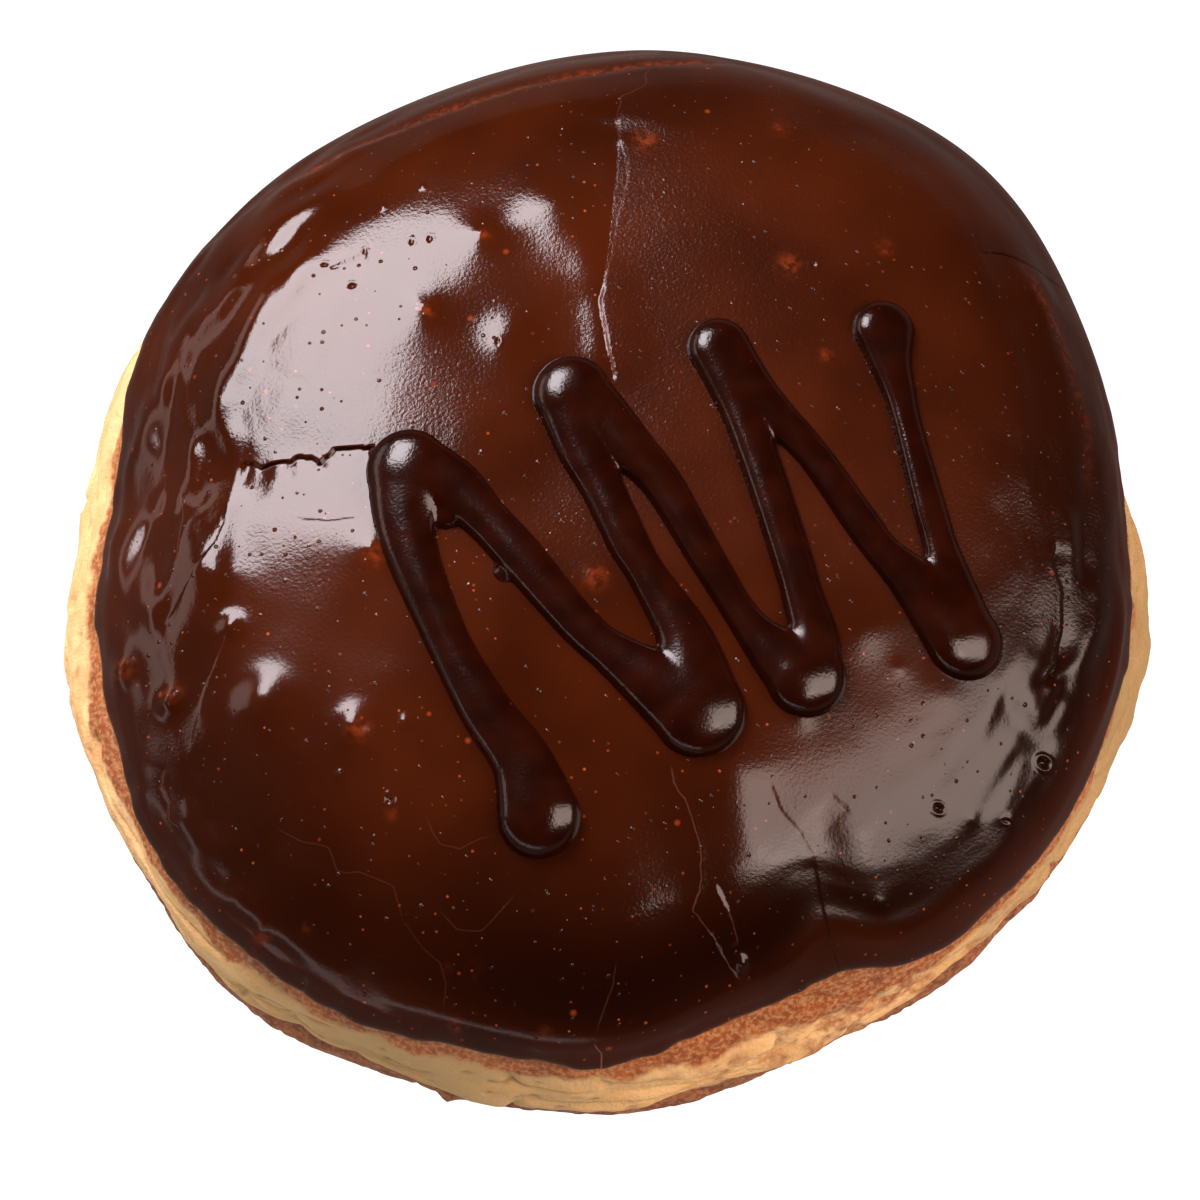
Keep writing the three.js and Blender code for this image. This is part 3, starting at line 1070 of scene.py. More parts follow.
@dataclass
class IcingSkin:
    """The chocolate icing: a dome with a rounded rim, lapped over the bun's shoulders."""

    form: BunForm
    gap: float = 0.3
    thickness: float = 1.7
    segments: int = 272
    lip: Route = (
        (0.75, 0.93), (0.3, 0.87), (-0.05, 0.77), (-0.3, 0.63), (-0.43, 0.46), (-0.4, 0.28),
        (-0.25, 0.1), (0.0, -0.05), (0.5, -0.12),
    )
    lip_start: float = 1.2
    inner_shares: Sequence[float] = (0.93, 0.75, 0.5, 0.25, 0.0)
    station_length: float = 2.9
    run_length: float = 49.0
    relief_fade: float = 0.1
    search_bottom: float = 8.0
    search_halvings: int = 22
    seed: int = 23

    lumps: tuple[Grain, ...] = (Grain(0.05, (9.0,) * 3), Grain(0.022, (3.2,) * 3, 40.0))
    fold_sway: Grain = Grain(0.35, (3.5,) * 3, 300.0)
    rim_sway: tuple[Grain, ...] = (Grain(0.26, (4.0,) * 3), Grain(0.16, (1.7,) * 3, 9.0))
    side_folds: Route = ((160, 1.0, 40), (355, 0.75, 38))
    low_folds: Route = ((225, 0.9, 28),)
    least_fold: float = 0.12
    fold_place: tuple[float, float] = (5.0, 7.5)
    low_fold_width: float = 5.0
    fold_fade: tuple[float, float] = (0.3, 1.2)
    fold_radius: float = 45.0
    fold_slant: Grain = Grain(0.9, (9.0,) * 3)
    fold_grains: tuple[Grain, ...] = (
        Grain(0.52, (6.5, 6.5, 2.3), 70.0), Grain(0.16, (3.0, 3.0, 1.2), 110.0),
    )
    crease_zone: float = 0.42
    bubble_zone: float = 1.7
    peak_zone: float = 0.8
    far_crack: float = 3.0
    shown_crack: float = 1.5

    swellings: tuple[Swelling, ...] = (
        Swelling(38, -8, -0.25, 4), Swelling(-9.0, 16.0, 0.24, 2.1), Swelling(-38, 18, -0.3, 6),
        Swelling(2.6, 38.0, 0.24, 1.3, 5.5, 170), Swelling(29.6, -23.0, -0.16, 1.2, 3.0, 60),
        Swelling(-36.3, -3.4, 0.75, 1.9, 4.2, 100), Swelling(-21.6, -12.0, -0.15, 3.5),
        Swelling(-30.1, -16.7, 0.95, 2.4), Swelling(-22.3, -19.3, 0.62, 1.6),
        Swelling(-38.3, -15.6, 0.62, 1.1), Swelling(-33.0, -9.8, 0.45, 1.0),
        Swelling(-17.8, -19.1, 0.22, 0.5), Swelling(-23.4, -23.4, 0.2, 0.42),
        Swelling(27.0, -38.0, -0.25, 1.2, 4.0, 20), Swelling(15.5, -37.6, 0.2, 0.8, 2.2, 30),
        Swelling(21.8, -10.6, 0.32, 2.6), Swelling(16.2, -18.4, 0.12, 1.2),
    )
    peaks: tuple[Peak, ...] = (
        Peak(-11.6, 25.9, 0.44, 1.9), Peak(-16.6, 18.8, 0.44, 1.8), Peak(-20.9, -3.5, 0.36, 1.7),
        Peak(-34.2, -6.9, 0.12, 0.6),
        Peak(-42.2, -11.8, 0.4, 0.8), Peak(-19.2, -25.2, 0.12, 1.0), Peak(1.0, 35.5, 0.15, 0.9),
        Peak(-1.9, -6.4, 0.12, 0.6), Peak(22.8, -33.6, 0.25, 0.9), Peak(-30.2, -35.2, 0.35, 0.6),
        Peak(30.9, -26.2, 0.2, 1.0), Peak(34.4, -25.6, 0.2, 0.6), Peak(24.6, -14.0, 0.1, 0.8),
    )
    folds: tuple[Fold, ...] = (
        Fold(((-20.1, 37.5), (-25.0, 36.1), (-29.3, 32.7), (-32.9, 29.8), (-36.5, 26.2),
              (-38.8, 24.6)), 0.4, 1.3),
        Fold(((-23.8, 32.5), (-29.3, 29.3), (-31.8, 26.0), (-33.2, 23.0), (-36.6, 20.3),
              (-38.5, 17.5), (-40.1, 13.5), (-41.1, 10.6), (-41.5, 6.8), (-41.6, 2.7)), 0.48, 1.4),
        Fold(((-26.0, 25.7), (-29.3, 21.5), (-31.9, 17.4), (-34.0, 13.4), (-35.9, 8.5),
              (-37.0, 5.9), (-38.3, 3.7)), 0.44, 1.6),
        Fold(((-20.8, 32.1), (-23.8, 31.4)), 0.14, 0.9, 2.0),
        Fold(((-38.5, 0.8), (-38.5, -3.0), (-39.0, -6.6), (-39.6, -8.7)), 0.34, 1.0, 3.0),
        Fold(((-41.0, 13.5), (-42.6, 4.3), (-43.0, -0.1), (-42.6, -5.0), (-42.0, -6.9)), 0.34, 0.9),
        Fold(((-42.3, -9.4), (-42.3, -11.6), (-42.8, -14.4)), 0.3, 0.9, 2.0),
        Fold(((-41.6, -21.9), (-39.4, -25.4), (-37.4, -27.7), (-36.1, -30.3), (-35.4, -32.2),
              (-33.7, -33.2), (-32.2, -35.2)), 0.32, 0.9, 1.5),
        Fold(((-37.4, -24.5), (-36.0, -26.9), (-35.5, -28.9), (-34.2, -31.4), (-32.3, -32.6),
              (-31.3, -34.3), (-30.5, -35.6)), 0.32, 0.9, 1.5),
        Fold(((-34.7, -27.1), (-32.0, -31.1), (-29.4, -34.1)), 0.3, 1.5, 2.0),
        Fold(((-32.2, -35.8), (-29.0, -37.4), (-24.3, -39.9), (-20.1, -42.2), (-16.5, -43.5),
              (-11.4, -45.4)), 0.2, 0.6, 1.5),
        Fold(((35.9, 26.5), (38.4, 21.6), (40.0, 17.8), (40.9, 14.3), (41.7, 10.8), (42.0, 7.3),
              (41.9, 2.6), (41.6, 0.1)), 0.34, 1.5),
        Fold(((43.4, 4.3), (42.5, -1.3), (43.0, -6.2), (40.1, -11.9), (37.7, -15.6)), 0.35, 1.1),
        Fold(((-29.7, 33.1), (-24.0, 37.1), (-20.9, 38.8), (-14.2, 40.9), (-9.2, 42.8),
              (-4.1, 44.0), (3.9, 45.4), (9.2, 46.3), (12.7, 46.7)), -0.26, 0.55),
        Fold(((-20.5, 34.0), (-13.3, 37.5), (-8.3, 39.4), (-3.4, 40.6), (3.6, 41.9), (9.0, 42.6),
              (16.0, 42.6), (24.0, 39.0)), 0.3, 2.2),
        Fold(((-7.2, 30.5), (-5.0, 28.0), (-2.6, 24.0), (-0.9, 20.0), (-0.2, 15.5), (0.2, 11.8)),
             0.3, 2.8, 3.0),
        Fold(((28.0, -14.0), (29.4, -19.0), (28.6, -25.0)), 0.16, 1.6, 3.0),
        Fold(((-33.3, 3.0), (-33.9, -1.5), (-34.4, -6.5)), 0.3, 1.5, 2.0),
        Fold(((33.5, -15.5), (36.6, -19.5), (35.5, -23.5)), -0.22, 1.4, 3.0),
        Fold(((19.4, -38.8), (23.0, -38.6), (28.0, -36.2), (33.0, -32.6)), 0.2, 1.3, 2.0),
        Fold(((9.6, -20.0), (10.2, -27.0), (11.2, -33.0), (11.8, -38.0)), 0.5, 4.0, 4.0),
        Fold(((17.8, -27.0), (18.4, -33.0), (19.0, -39.0)), -0.25, 2.4, 4.0),
    )
    creases: tuple[Crease, ...] = (
        Crease(((-32.4, 5.1), (-31.6, 4.9), (-30.4, 4.7), (-29.3, 4.9), (-28.0, 5.1), (-27.5, 5.4),
                (-26.3, 5.2), (-25.5, 4.7), (-24.1, 5.6), (-22.8, 5.9), (-20.7, 5.9)),
               step=0.34, reach=1.5, softness=0.12, lift=0.02, ragged=0.3, tone=1.0, ends=0.5),
        Crease(((-27.4, -0.4), (-26.0, -0.7), (-24.4, -0.9), (-21.9, -0.8)),
               groove=0.03, groove_width=0.1, tone=0.8, ends=0.8),
        Crease(((-33.5, 2.1), (-33.7, -0.4), (-34.3, -2.0), (-35.9, -4.3), (-37.5, -6.8),
                (-39.6, -9.5)), step=0.05, reach=2.0, softness=0.12, ragged=0.05, tone=0.7),
        Crease(((-38.0, 4.0), (-37.4, 0.6), (-37.7, -4.0)), step=0.04, ragged=0.04, tone=-0.3),
        Crease(((-32.8, -9.4), (-35.3, -15.1), (-36.8, -20.8)), step=0.05, ragged=0.04, tone=-0.15),
        Crease(((3.9, 45.4), (3.1, 43.3), (3.0, 41.8), (0.8, 40.5), (0.4, 36.8), (1.5, 32.4),
                (0.5, 27.8), (0.0, 23.8), (-1.1, 19.3)),
               step=0.015, softness=0.15, ragged=0.16, tone=-0.2),
        Crease(((-0.7, 20.8), (-1.1, 19.3), (-0.6, 16.3), (0.0, 13.5), (0.3, 11.4)),
               step=0.12, reach=3.5, softness=0.12, lift=0.04, ragged=0.12, tone=-0.5, ends=1.0),
        Crease(((10.9, -39.8), (10.1, -38.9), (9.2, -37.7), (8.5, -36.7), (6.8, -34.9),
                (7.5, -33.1), (7.7, -32.2), (7.3, -29.1), (6.5, -26.1), (5.2, -24.3), (4.9, -22.8)),
               step=-0.12, reach=1.3, softness=0.14, ragged=0.2, tone=-0.3, ends=0.8),
        Crease(((8.7, -32.7), (9.6, -34.2), (10.2, -35.5), (10.8, -37.2)),
               step=-0.14, reach=1.4, softness=0.14, ragged=0.08, tone=-0.25, ends=0.6),
        Crease(((13.4, -24.0), (14.4, -26.5), (16.2, -28.4), (17.3, -30.3)),
               step=0.03, ragged=0.05, tone=-0.12, ends=1.0),
        Crease(((17.3, -30.3), (17.8, -33.2), (18.4, -35.8), (18.8, -37.8)),
               step=0.05, ragged=0.05, tone=0.6, ends=1.0),
        Crease(((18.6, -24.9), (19.5, -25.7), (20.4, -26.5)), step=0.04, ragged=0.0, tone=-0.2,
               ends=0.5),
        Crease(((-29.6, -26.8), (-28.2, -27.9), (-26.7, -28.7), (-24.3, -29.4), (-23.9, -30.2),
                (-23.6, -31.3), (-22.7, -31.6), (-21.7, -31.5), (-18.8, -32.8), (-18.4, -34.0),
                (-17.8, -35.9)), step=0.05, ragged=0.05, tone=-0.19),
        Crease(((-16.2, -26.4), (-15.4, -28.4), (-14.7, -29.5), (-13.0, -29.9), (-11.4, -29.2),
                (-9.6, -28.7)), step=0.05, ragged=0.05, tone=-0.19),
        Crease(((-18.8, -32.8), (-18.4, -34.0), (-17.9, -35.5), (-16.2, -37.8), (-14.8, -38.9),
                (-14.2, -40.5), (-14.5, -43.0)), step=0.04, ragged=0.05, tone=-0.16),
        Crease(((-15.2, -34.4), (-13.3, -36.5), (-11.2, -36.6), (-9.8, -35.3), (-7.8, -33.3)),
               step=0.04, ragged=0.05, tone=-0.18),
        Crease(((0.3, -38.9), (0.1, -40.7), (-0.8, -42.6), (-1.5, -44.2)),
               step=0.05, ragged=0.08, tone=-0.2, ends=1.0),
        Crease(((-30.4, 14.1), (-28.2, 13.2), (-26.5, 12.3), (-25.1, 15.3), (-24.6, 16.6),
                (-23.7, 20.2)), step=0.05, reach=4.0, softness=0.9, ragged=0.03),
        Crease(((-24.7, 23.6), (-23.6, 23.9), (-22.4, 24.5), (-21.5, 24.7)),
               step=0.08, reach=1.5, softness=0.15, ragged=0.08, tone=0.4, ends=0.6),
        Crease(((32.6, 25.9), (34.9, 26.3), (38.3, 25.6), (40.5, 24.9)),
               step=0.06, reach=1.5, softness=0.12, tone=0.9, ends=1.0),
        Crease(((37.5, -14.0), (38.7, -12.2), (39.3, -8.8), (39.2, -5.5), (38.4, -3.4),
                (38.7, -1.3)), step=0.3, reach=2.0, softness=0.3, lift=0.16, ragged=0.1, ends=1.2),
        Crease(((-1.7, -44.7), (-1.0, -45.4), (-0.6, -46.2)),
               step=0.1, softness=0.12, tone=-0.9, ends=0.5),
        Crease(((-38.6, -21.0), (-38.9, -22.4), (-38.2, -25.2), (-37.0, -26.4)),
               step=0.08, softness=0.12, ragged=0.2, tone=-0.3, ends=0.8),
    )
    bubbles: tuple[Bubble, ...] = (
        Bubble(-22.9, 21.4, 0.4, 0.2, 0.05), Bubble(-19.1, -25.6, 0.45, 0.3, 0.12),
        Bubble(17.7, 23.1, 0.36, 0.16, 0.06), Bubble(37.4, -20.7, 0.6, 0.4, 0.16),
        Bubble(28.0, -25.7, 0.5, 0.35, 0.12), Bubble(33.9, -25.9, 0.3, 0.2, 0.1),
        Bubble(-25.4, 23.7, 0.3, 0.2, 0.05), Bubble(-24.6, 23.4, 0.24, 0.16, 0.05),
        Bubble(-21.8, 24.8, 0.26, 0.16, 0.05), Bubble(-17.7, 25.5, 0.28, 0.16, 0.04),
        Bubble(-16.1, 25.7, 0.32, 0.2, 0.05), Bubble(-16.8, 31.3, 0.34, -0.14),
        Bubble(-20.3, 29.4, 0.36, -0.14), Bubble(-10.0, 15.4, 0.32, 0.14, 0.08),
        Bubble(11.0, -38.4, 0.8, -0.45), Bubble(-30.2, -37.0, 0.5, 0.5),
        Bubble(-26.4, -39.2, 0.35, 0.3), Bubble(-6.6, -45.6, 0.5, 0.3),
    )
    seams: tuple[Route, ...] = (
        ((-29.7, 33.1), (-24.0, 37.1), (-14.2, 40.9), (-4.1, 44.0), (3.9, 45.4), (12.7, 46.7)),
        ((35.9, 26.5), (38.4, 21.6), (40.0, 17.8), (40.9, 14.3), (41.7, 10.8), (41.9, 2.6)),
    )
    seam_width: float = 0.4
    seam_glow: float = 1.1
    seam_ends: float = 4.0
    leather_edge: Route = (
        (3.9, 47.0), (0.7, 40.0), (0.5, 32.0), (-0.6, 22.0), (-1.1, 18.0), (0.4, 11.8),
        (-8.0, -4.0), (-12.0, -24.0),
    )
    leather_softness: tuple[float, float] = (0.3, 11.0)
    leather_spread: tuple[float, float] = (13.0, 5.0)
    leather_end: tuple[float, float] = (-16.0, 2.0)
    # Painted shade above the rim: each darker side's azimuth, strength and half width, how far up
    # from the rim it reaches, and how much it eases at the lip.
    rim_shade_sides: Route = ((270, 1.0, 48), (325, 0.75, 34), (5, 0.6, 38), (60, 0.25, 50), (215, 0.15, 25))
    rim_shade_reach: tuple[float, float] = (26.0, 5.0)
    rim_shade_edge: float = 4.0
    rim_shade_at_lip: float = 0.2
    dull_patches: tuple[Swelling, ...] = (
        Swelling(28.0, -20.0, 1.3, 13.0, 20.0, 50.0), Swelling(-27.0, -15.0, 0.75, 9.0, 12.0, 50.0),
    )
    dull_rim: tuple[float, float] = (8.0, 3.0)
    bead: float = 0.55
    bead_place: float = 1.4
    bead_width: float = 2.0
    bead_heights: Route = ((268, 1.0, 40), (345, 0.5, 40), (30, 0.3, 50), (190, 0.5, 40))
    glows: Route = (
        (-11.2, 25.7, 0.5), (-16.2, 18.5, 0.6), (-20.5, -4.2, 0.9), (-1.5, -6.5, 0.9),
        (-21.7, -19.6, 0.9), (-18.8, -26.8, 0.5), (-11.8, -39.7, 0.8), (-2.1, -41.4, 0.9),
        (-14.1, -39.4, 0.5), (-5.7, -43.9, 0.5), (-13.4, -43.3, 0.5), (15.5, 23.0, 0.9),
        (24.1, 25.2, 0.6), (15.0, 37.4, 0.7), (18.6, 14.3, 0.5), (22.8, -33.9, 0.7),
        (-30.0, -35.4, 0.7), (11.1, -38.8, 0.9), (-42.2, -12.0, 0.8), (-38.0, -15.0, 0.7),
        (3.0, 35.6, 1.0), (31.0, -26.6, 0.5), (-26.2, -35.6, 0.4),
    )

    def station_at(self, share: np.ndarray, azimuth: np.ndarray) -> np.ndarray:
        """Returns the station this share of the way from the crown (0) to the lip (1).

        Args:
            share: 0 at the crown, 1 at the lip.
            azimuth: directions, in radians.

        Returns:
            The station of each.
        """
        stations, way = self.form.run()
        edge = self.form.rim_station(azimuth) + self.lip_start / self.station_length
        reach = np.interp(edge, stations, way)
        return np.interp(-share * reach, -way, stations)

    def lifted(self, station: np.ndarray, azimuth: np.ndarray, relief: np.ndarray) -> np.ndarray:
        """Returns points of the icing's outer face."""
        return self.form.skin(station, azimuth, self.gap + self.thickness + relief)

    def broad_relief(self, points: np.ndarray) -> np.ndarray:
        """Returns the sum of the swellings and hollows at each point."""
        return sum(swelling.relief(points) for swelling in self.swellings)

    def top(self, x: np.ndarray, y: np.ndarray) -> np.ndarray:
        """Returns the height of the icing's smooth outer face over points in plan.

        Args:
            x: the points' first place in plan.
            y: their second place in plan.

        Returns:
            The height of each.
        """
        azimuth, wanted = np.arctan2(y, x), np.hypot(x, y)
        low = np.full(x.shape, self.search_bottom)
        high = np.full(x.shape, float(self.form.crown_station))
        flat = np.stack([x, y, np.zeros(x.shape)], axis=-1)
        relief = self.broad_relief(flat)
        for _ in range(self.search_halvings):
            middle = (low + high) / 2
            place = self.lifted(middle, azimuth, relief)
            outside = np.hypot(place[:, 0], place[:, 1]) > wanted
            low, high = np.where(outside, middle, low), np.where(outside, high, middle)
        return self.lifted(low, azimuth, relief)[:, 2]

    @staticmethod
    def unrolled(flat: np.ndarray) -> tuple[np.ndarray, np.ndarray]:
        """Lays a square out as a disc, ring for ring.

        Args:
            flat: places in a square from -1 to 1, one a row.

        Returns:
            The share of the way from the middle to the edge, and the azimuth.
        """
        a, b = flat[:, 0], flat[:, 1]
        wide = np.abs(a) >= np.abs(b)
        safe_a = np.where(np.abs(a) < 1e-12, 1e-12, a)
        safe_b = np.where(np.abs(b) < 1e-12, 1e-12, b)
        turn = np.where(wide, math.pi / 4 * b / safe_a, math.pi / 2 - math.pi / 4 * a / safe_b)
        radius = np.where(wide, a, b)
        azimuth = np.where(radius < 0, turn + math.pi, turn)
        return np.abs(radius), azimuth % (2 * math.pi)

    def refine(self, shape: bmesh.types.BMesh) -> None:
        """Makes the mesh finer along sharp creases and round the bubbles.

        Args:
            shape: the icing's grid, still a flat square.
        """
        share, azimuth = self.unrolled(read_places(shape))
        points = self.lifted(self.station_at(share, azimuth), azimuth, 0.0)
        wobble = Wobble(self.seed)
        near = np.zeros(len(points), bool)
        for crease in self.creases:
            if crease.is_sharp:
                away, here = crease.measure(points, wobble)
                near |= (np.abs(away) < self.crease_zone) & (here > 0.01)
        for bubble in self.bubbles:
            near |= bubble.away(points) < self.bubble_zone * bubble.radius
        for peak in self.peaks:
            near |= np.hypot(points[:, 0] - peak.x, points[:, 1] - peak.y) < self.peak_zone
        shape.verts.index_update()
        edges = [edge for edge in shape.edges if any(near[vert.index] for vert in edge.verts)]
        bmesh.ops.subdivide_edges(shape, edges=edges, cuts=1, use_grid_fill=True)

    def relief(self, points: np.ndarray, share: np.ndarray, azimuth: np.ndarray,
               wobble: Wobble) -> tuple[np.ndarray, np.ndarray, np.ndarray]:
        """Works out the icing's fine shape.

        Args:
            points: places on the plain outer face.
            share: how far each lies from the crown to the lip.
            azimuth: the direction of each.
            wobble: the random relief.

        Returns:
            The height off the plain face, the distance from the nearest crack, and how dark
            (above 0, painted shade in the crack) or light (below 0, painted highlight on a lit edge
            or a lighter plate edge) that crack is painted.
        """
        from_rim = (1.0 - share) * self.run_length
        fade = np.clip(from_rim / (self.relief_fade * self.run_length), 0.0, 1.0)
        height = self.broad_relief(points) * fade
        for lump in self.lumps:
            height += lump.relief(points, wobble) * fade
        height += self.rim_folds(from_rim, azimuth, wobble)
        bead = np.clip(self.form.bulge(self.bead_heights, azimuth), 0.0, 1.0)
        height += self.bead * bead * bell(from_rim - self.bead_place, self.bead_width)
        sway = self.fold_sway.relief(points, wobble)
        height += sum(fold.relief(points, sway) for fold in self.folds)
        height += sum(peak.relief(points) for peak in self.peaks)
        nearest = np.full(len(points), self.far_crack)
        tone = np.zeros(len(points))
        for crease in self.creases:
            away, here = crease.measure(points, wobble)
            height += crease.relief(away, here)
            if crease.tone:
                closer = (np.abs(away) < np.abs(nearest)) & (here > 0.01)
                nearest = np.where(closer, away, nearest)
                tone = np.where(closer, crease.tone * here, tone)
        tone = tone * (np.abs(nearest) < 1.0)
        for bubble in self.bubbles:
            height += bubble.relief(points)
        return height, np.clip(nearest, -self.shown_crack, self.shown_crack), tone

    def rim_folds(self, from_rim: np.ndarray, azimuth: np.ndarray,
                  wobble: Wobble) -> np.ndarray:
        """Returns long folds that run along the rim, strongest on the left and right.

        Args:
            from_rim: how far above the rim each point lies.
            azimuth: directions, in radians.
            wobble: the random relief.

        Returns:
            The height at each point.
        """
        sides = np.max([self.form.bulge([row], azimuth) for row in self.side_folds], axis=0)
        place, width = self.fold_place
        strength = np.maximum(sides, self.least_fold) * bell(from_rim - place, width)
        low = self.form.bulge(self.low_folds, azimuth) * bell(from_rim, self.low_fold_width)
        least, reach = self.fold_fade
        fade = least + (1.0 - least) * smoothstep(from_rim, 0.0, reach)
        radius = self.fold_radius
        around = np.stack([np.cos(azimuth) * radius, np.sin(azimuth) * radius, from_rim], axis=-1)
        slanted = around.copy()
        slanted[:, 2] += self.fold_slant.relief(around, wobble)
        folds = sum(grain.relief(slanted, wobble) for grain in self.fold_grains)
        return np.maximum(strength, low) * fade * folds

    def build(self, material: bpy.types.Material) -> bpy.types.Object:
        """Builds the piece and returns it.

        Args:
            material: its finish.

        Returns:
            The piece.
        """
        shape = bmesh.new()
        bmesh.ops.create_grid(shape, x_segments=self.segments, y_segments=self.segments, size=1.0)
        self.refine(shape)
        edge = [e for e in shape.edges if e.is_boundary]
        for _ in range(len(self.lip) + len(self.inner_shares)):
            grown = bmesh.ops.extrude_edge_only(shape, edges=edge)["geom"]
            fresh = [g for g in grown if isinstance(g, bmesh.types.BMVert)]
            bmesh.ops.translate(shape, vec=(0.0, 0.0, 1.0), verts=fresh)
            edge = [g for g in grown if isinstance(g, bmesh.types.BMEdge)]
        flat = read_places(shape)
        row = np.rint(flat[:, 2]).astype(int)
        share, azimuth = self.unrolled(flat)
        wobble = Wobble(self.seed)
        station = self.station_at(share, azimuth)
        plain = self.lifted(station, azimuth, 0.0)
        height, crack, tone = self.relief(plain, share, azimuth, wobble)
        places = self.lifted(station, azimuth, height)
        rim = self.form.rim_station(azimuth)
        sway = sum(grain.relief(plain, wobble) for grain in self.rim_sway)
        for number, (above, thick) in enumerate(self.lip, start=1):
            here = row == number
            lift = self.gap + self.thickness * thick + height[here] * max(thick, 0.0)
            low = rim[here] + (above + sway[here]) / self.station_length
            places[here] = self.form.skin(low, azimuth[here], lift)
        for number, inner in enumerate(self.inner_shares, start=len(self.lip) + 1):
            here = row == number
            level = self.station_at(np.full(here.sum(), inner), azimuth[here])
            places[here] = self.form.skin(level, azimuth[here], self.gap / 2)
        write_places(shape, places)
        write_numbers(shape, "crack", crack)
        write_numbers(shape, "crack_tone", tone)
        write_numbers(shape, "glow", self.glow(plain))
        write_numbers(shape, "leather", self.leather(plain))
        write_numbers(shape, "rim_shade", self.rim_shade(share, azimuth))
        write_numbers(shape, "satin", self.satin(plain, share))
        bmesh.ops.remove_doubles(shape, verts=shape.verts, dist=MERGE_DISTANCE)
        return finish_piece(shape, "icing_skin", material, "chocolate_icing")

    def leather(self, points: np.ndarray) -> np.ndarray:
        """Returns how leathery the skin is at each point, from 0 to 1.

        Args:
            points: places, one a row, in millimetres.

        Returns:
            The share at each point.
        """
        west, _ = to_route(points, self.leather_edge)
        crisp, spread = self.leather_softness
        softness = crisp + spread * smoothstep(points[:, 1], *self.leather_spread)
        inside = np.clip(0.5 - west / softness, 0.0, 1.0)
        return inside * smoothstep(points[:, 1], *self.leather_end)

    def satin(self, points: np.ndarray, share: np.ndarray) -> np.ndarray:
        """Returns how dull the smooth skin is at each point, from 0 to 1.

        Args:
            points: places, one a row, in millimetres.
            share: how far each lies from the crown.

        Returns:
            The share at each point.
        """
        dull = sum(patch.relief(points) for patch in self.dull_patches)
        rim = smoothstep((1.0 - share) * self.run_length, *self.dull_rim)
        return np.maximum(np.clip(dull, 0.0, 1.0), rim)

    def glow(self, points: np.ndarray) -> np.ndarray:
        """Returns how much of the reddish spots shows at each point, from 0 to 1.

        Args:
            points: places, one a row, in millimetres.

        Returns:
            The share at each point.
        """
        total = np.zeros(len(points))
        for x, y, radius in self.glows:
            total = np.maximum(total, bell(np.hypot(points[:, 0] - x, points[:, 1] - y), radius))
        for route in self.seams:
            away, inside = to_route(points, route)
            seam = self.seam_glow * bell(away, self.seam_width)
            total = np.maximum(total, seam * smoothstep(inside, 0.0, self.seam_ends))
        return total

    def rim_shade(self, share: np.ndarray, azimuth: np.ndarray) -> np.ndarray:
        """Returns the painted shade that darkens the icing above the rim, from 0 to 1: strongest
        towards the bottom and the right, where the light falls off, and eased right at the lip.

        Args:
            share: how far each point lies from the crown.
            azimuth: directions, in radians.

        Returns:
            The share at each point.
        """
        around = np.clip(self.form.bulge(self.rim_shade_sides, azimuth), 0.0, 1.0)
        from_rim = (1.0 - share) * self.run_length
        at_lip = self.rim_shade_at_lip + (1.0 - self.rim_shade_at_lip) * smoothstep(from_rim, 0.0, self.rim_shade_edge)
        return around * at_lip * smoothstep(from_rim, *self.rim_shade_reach)


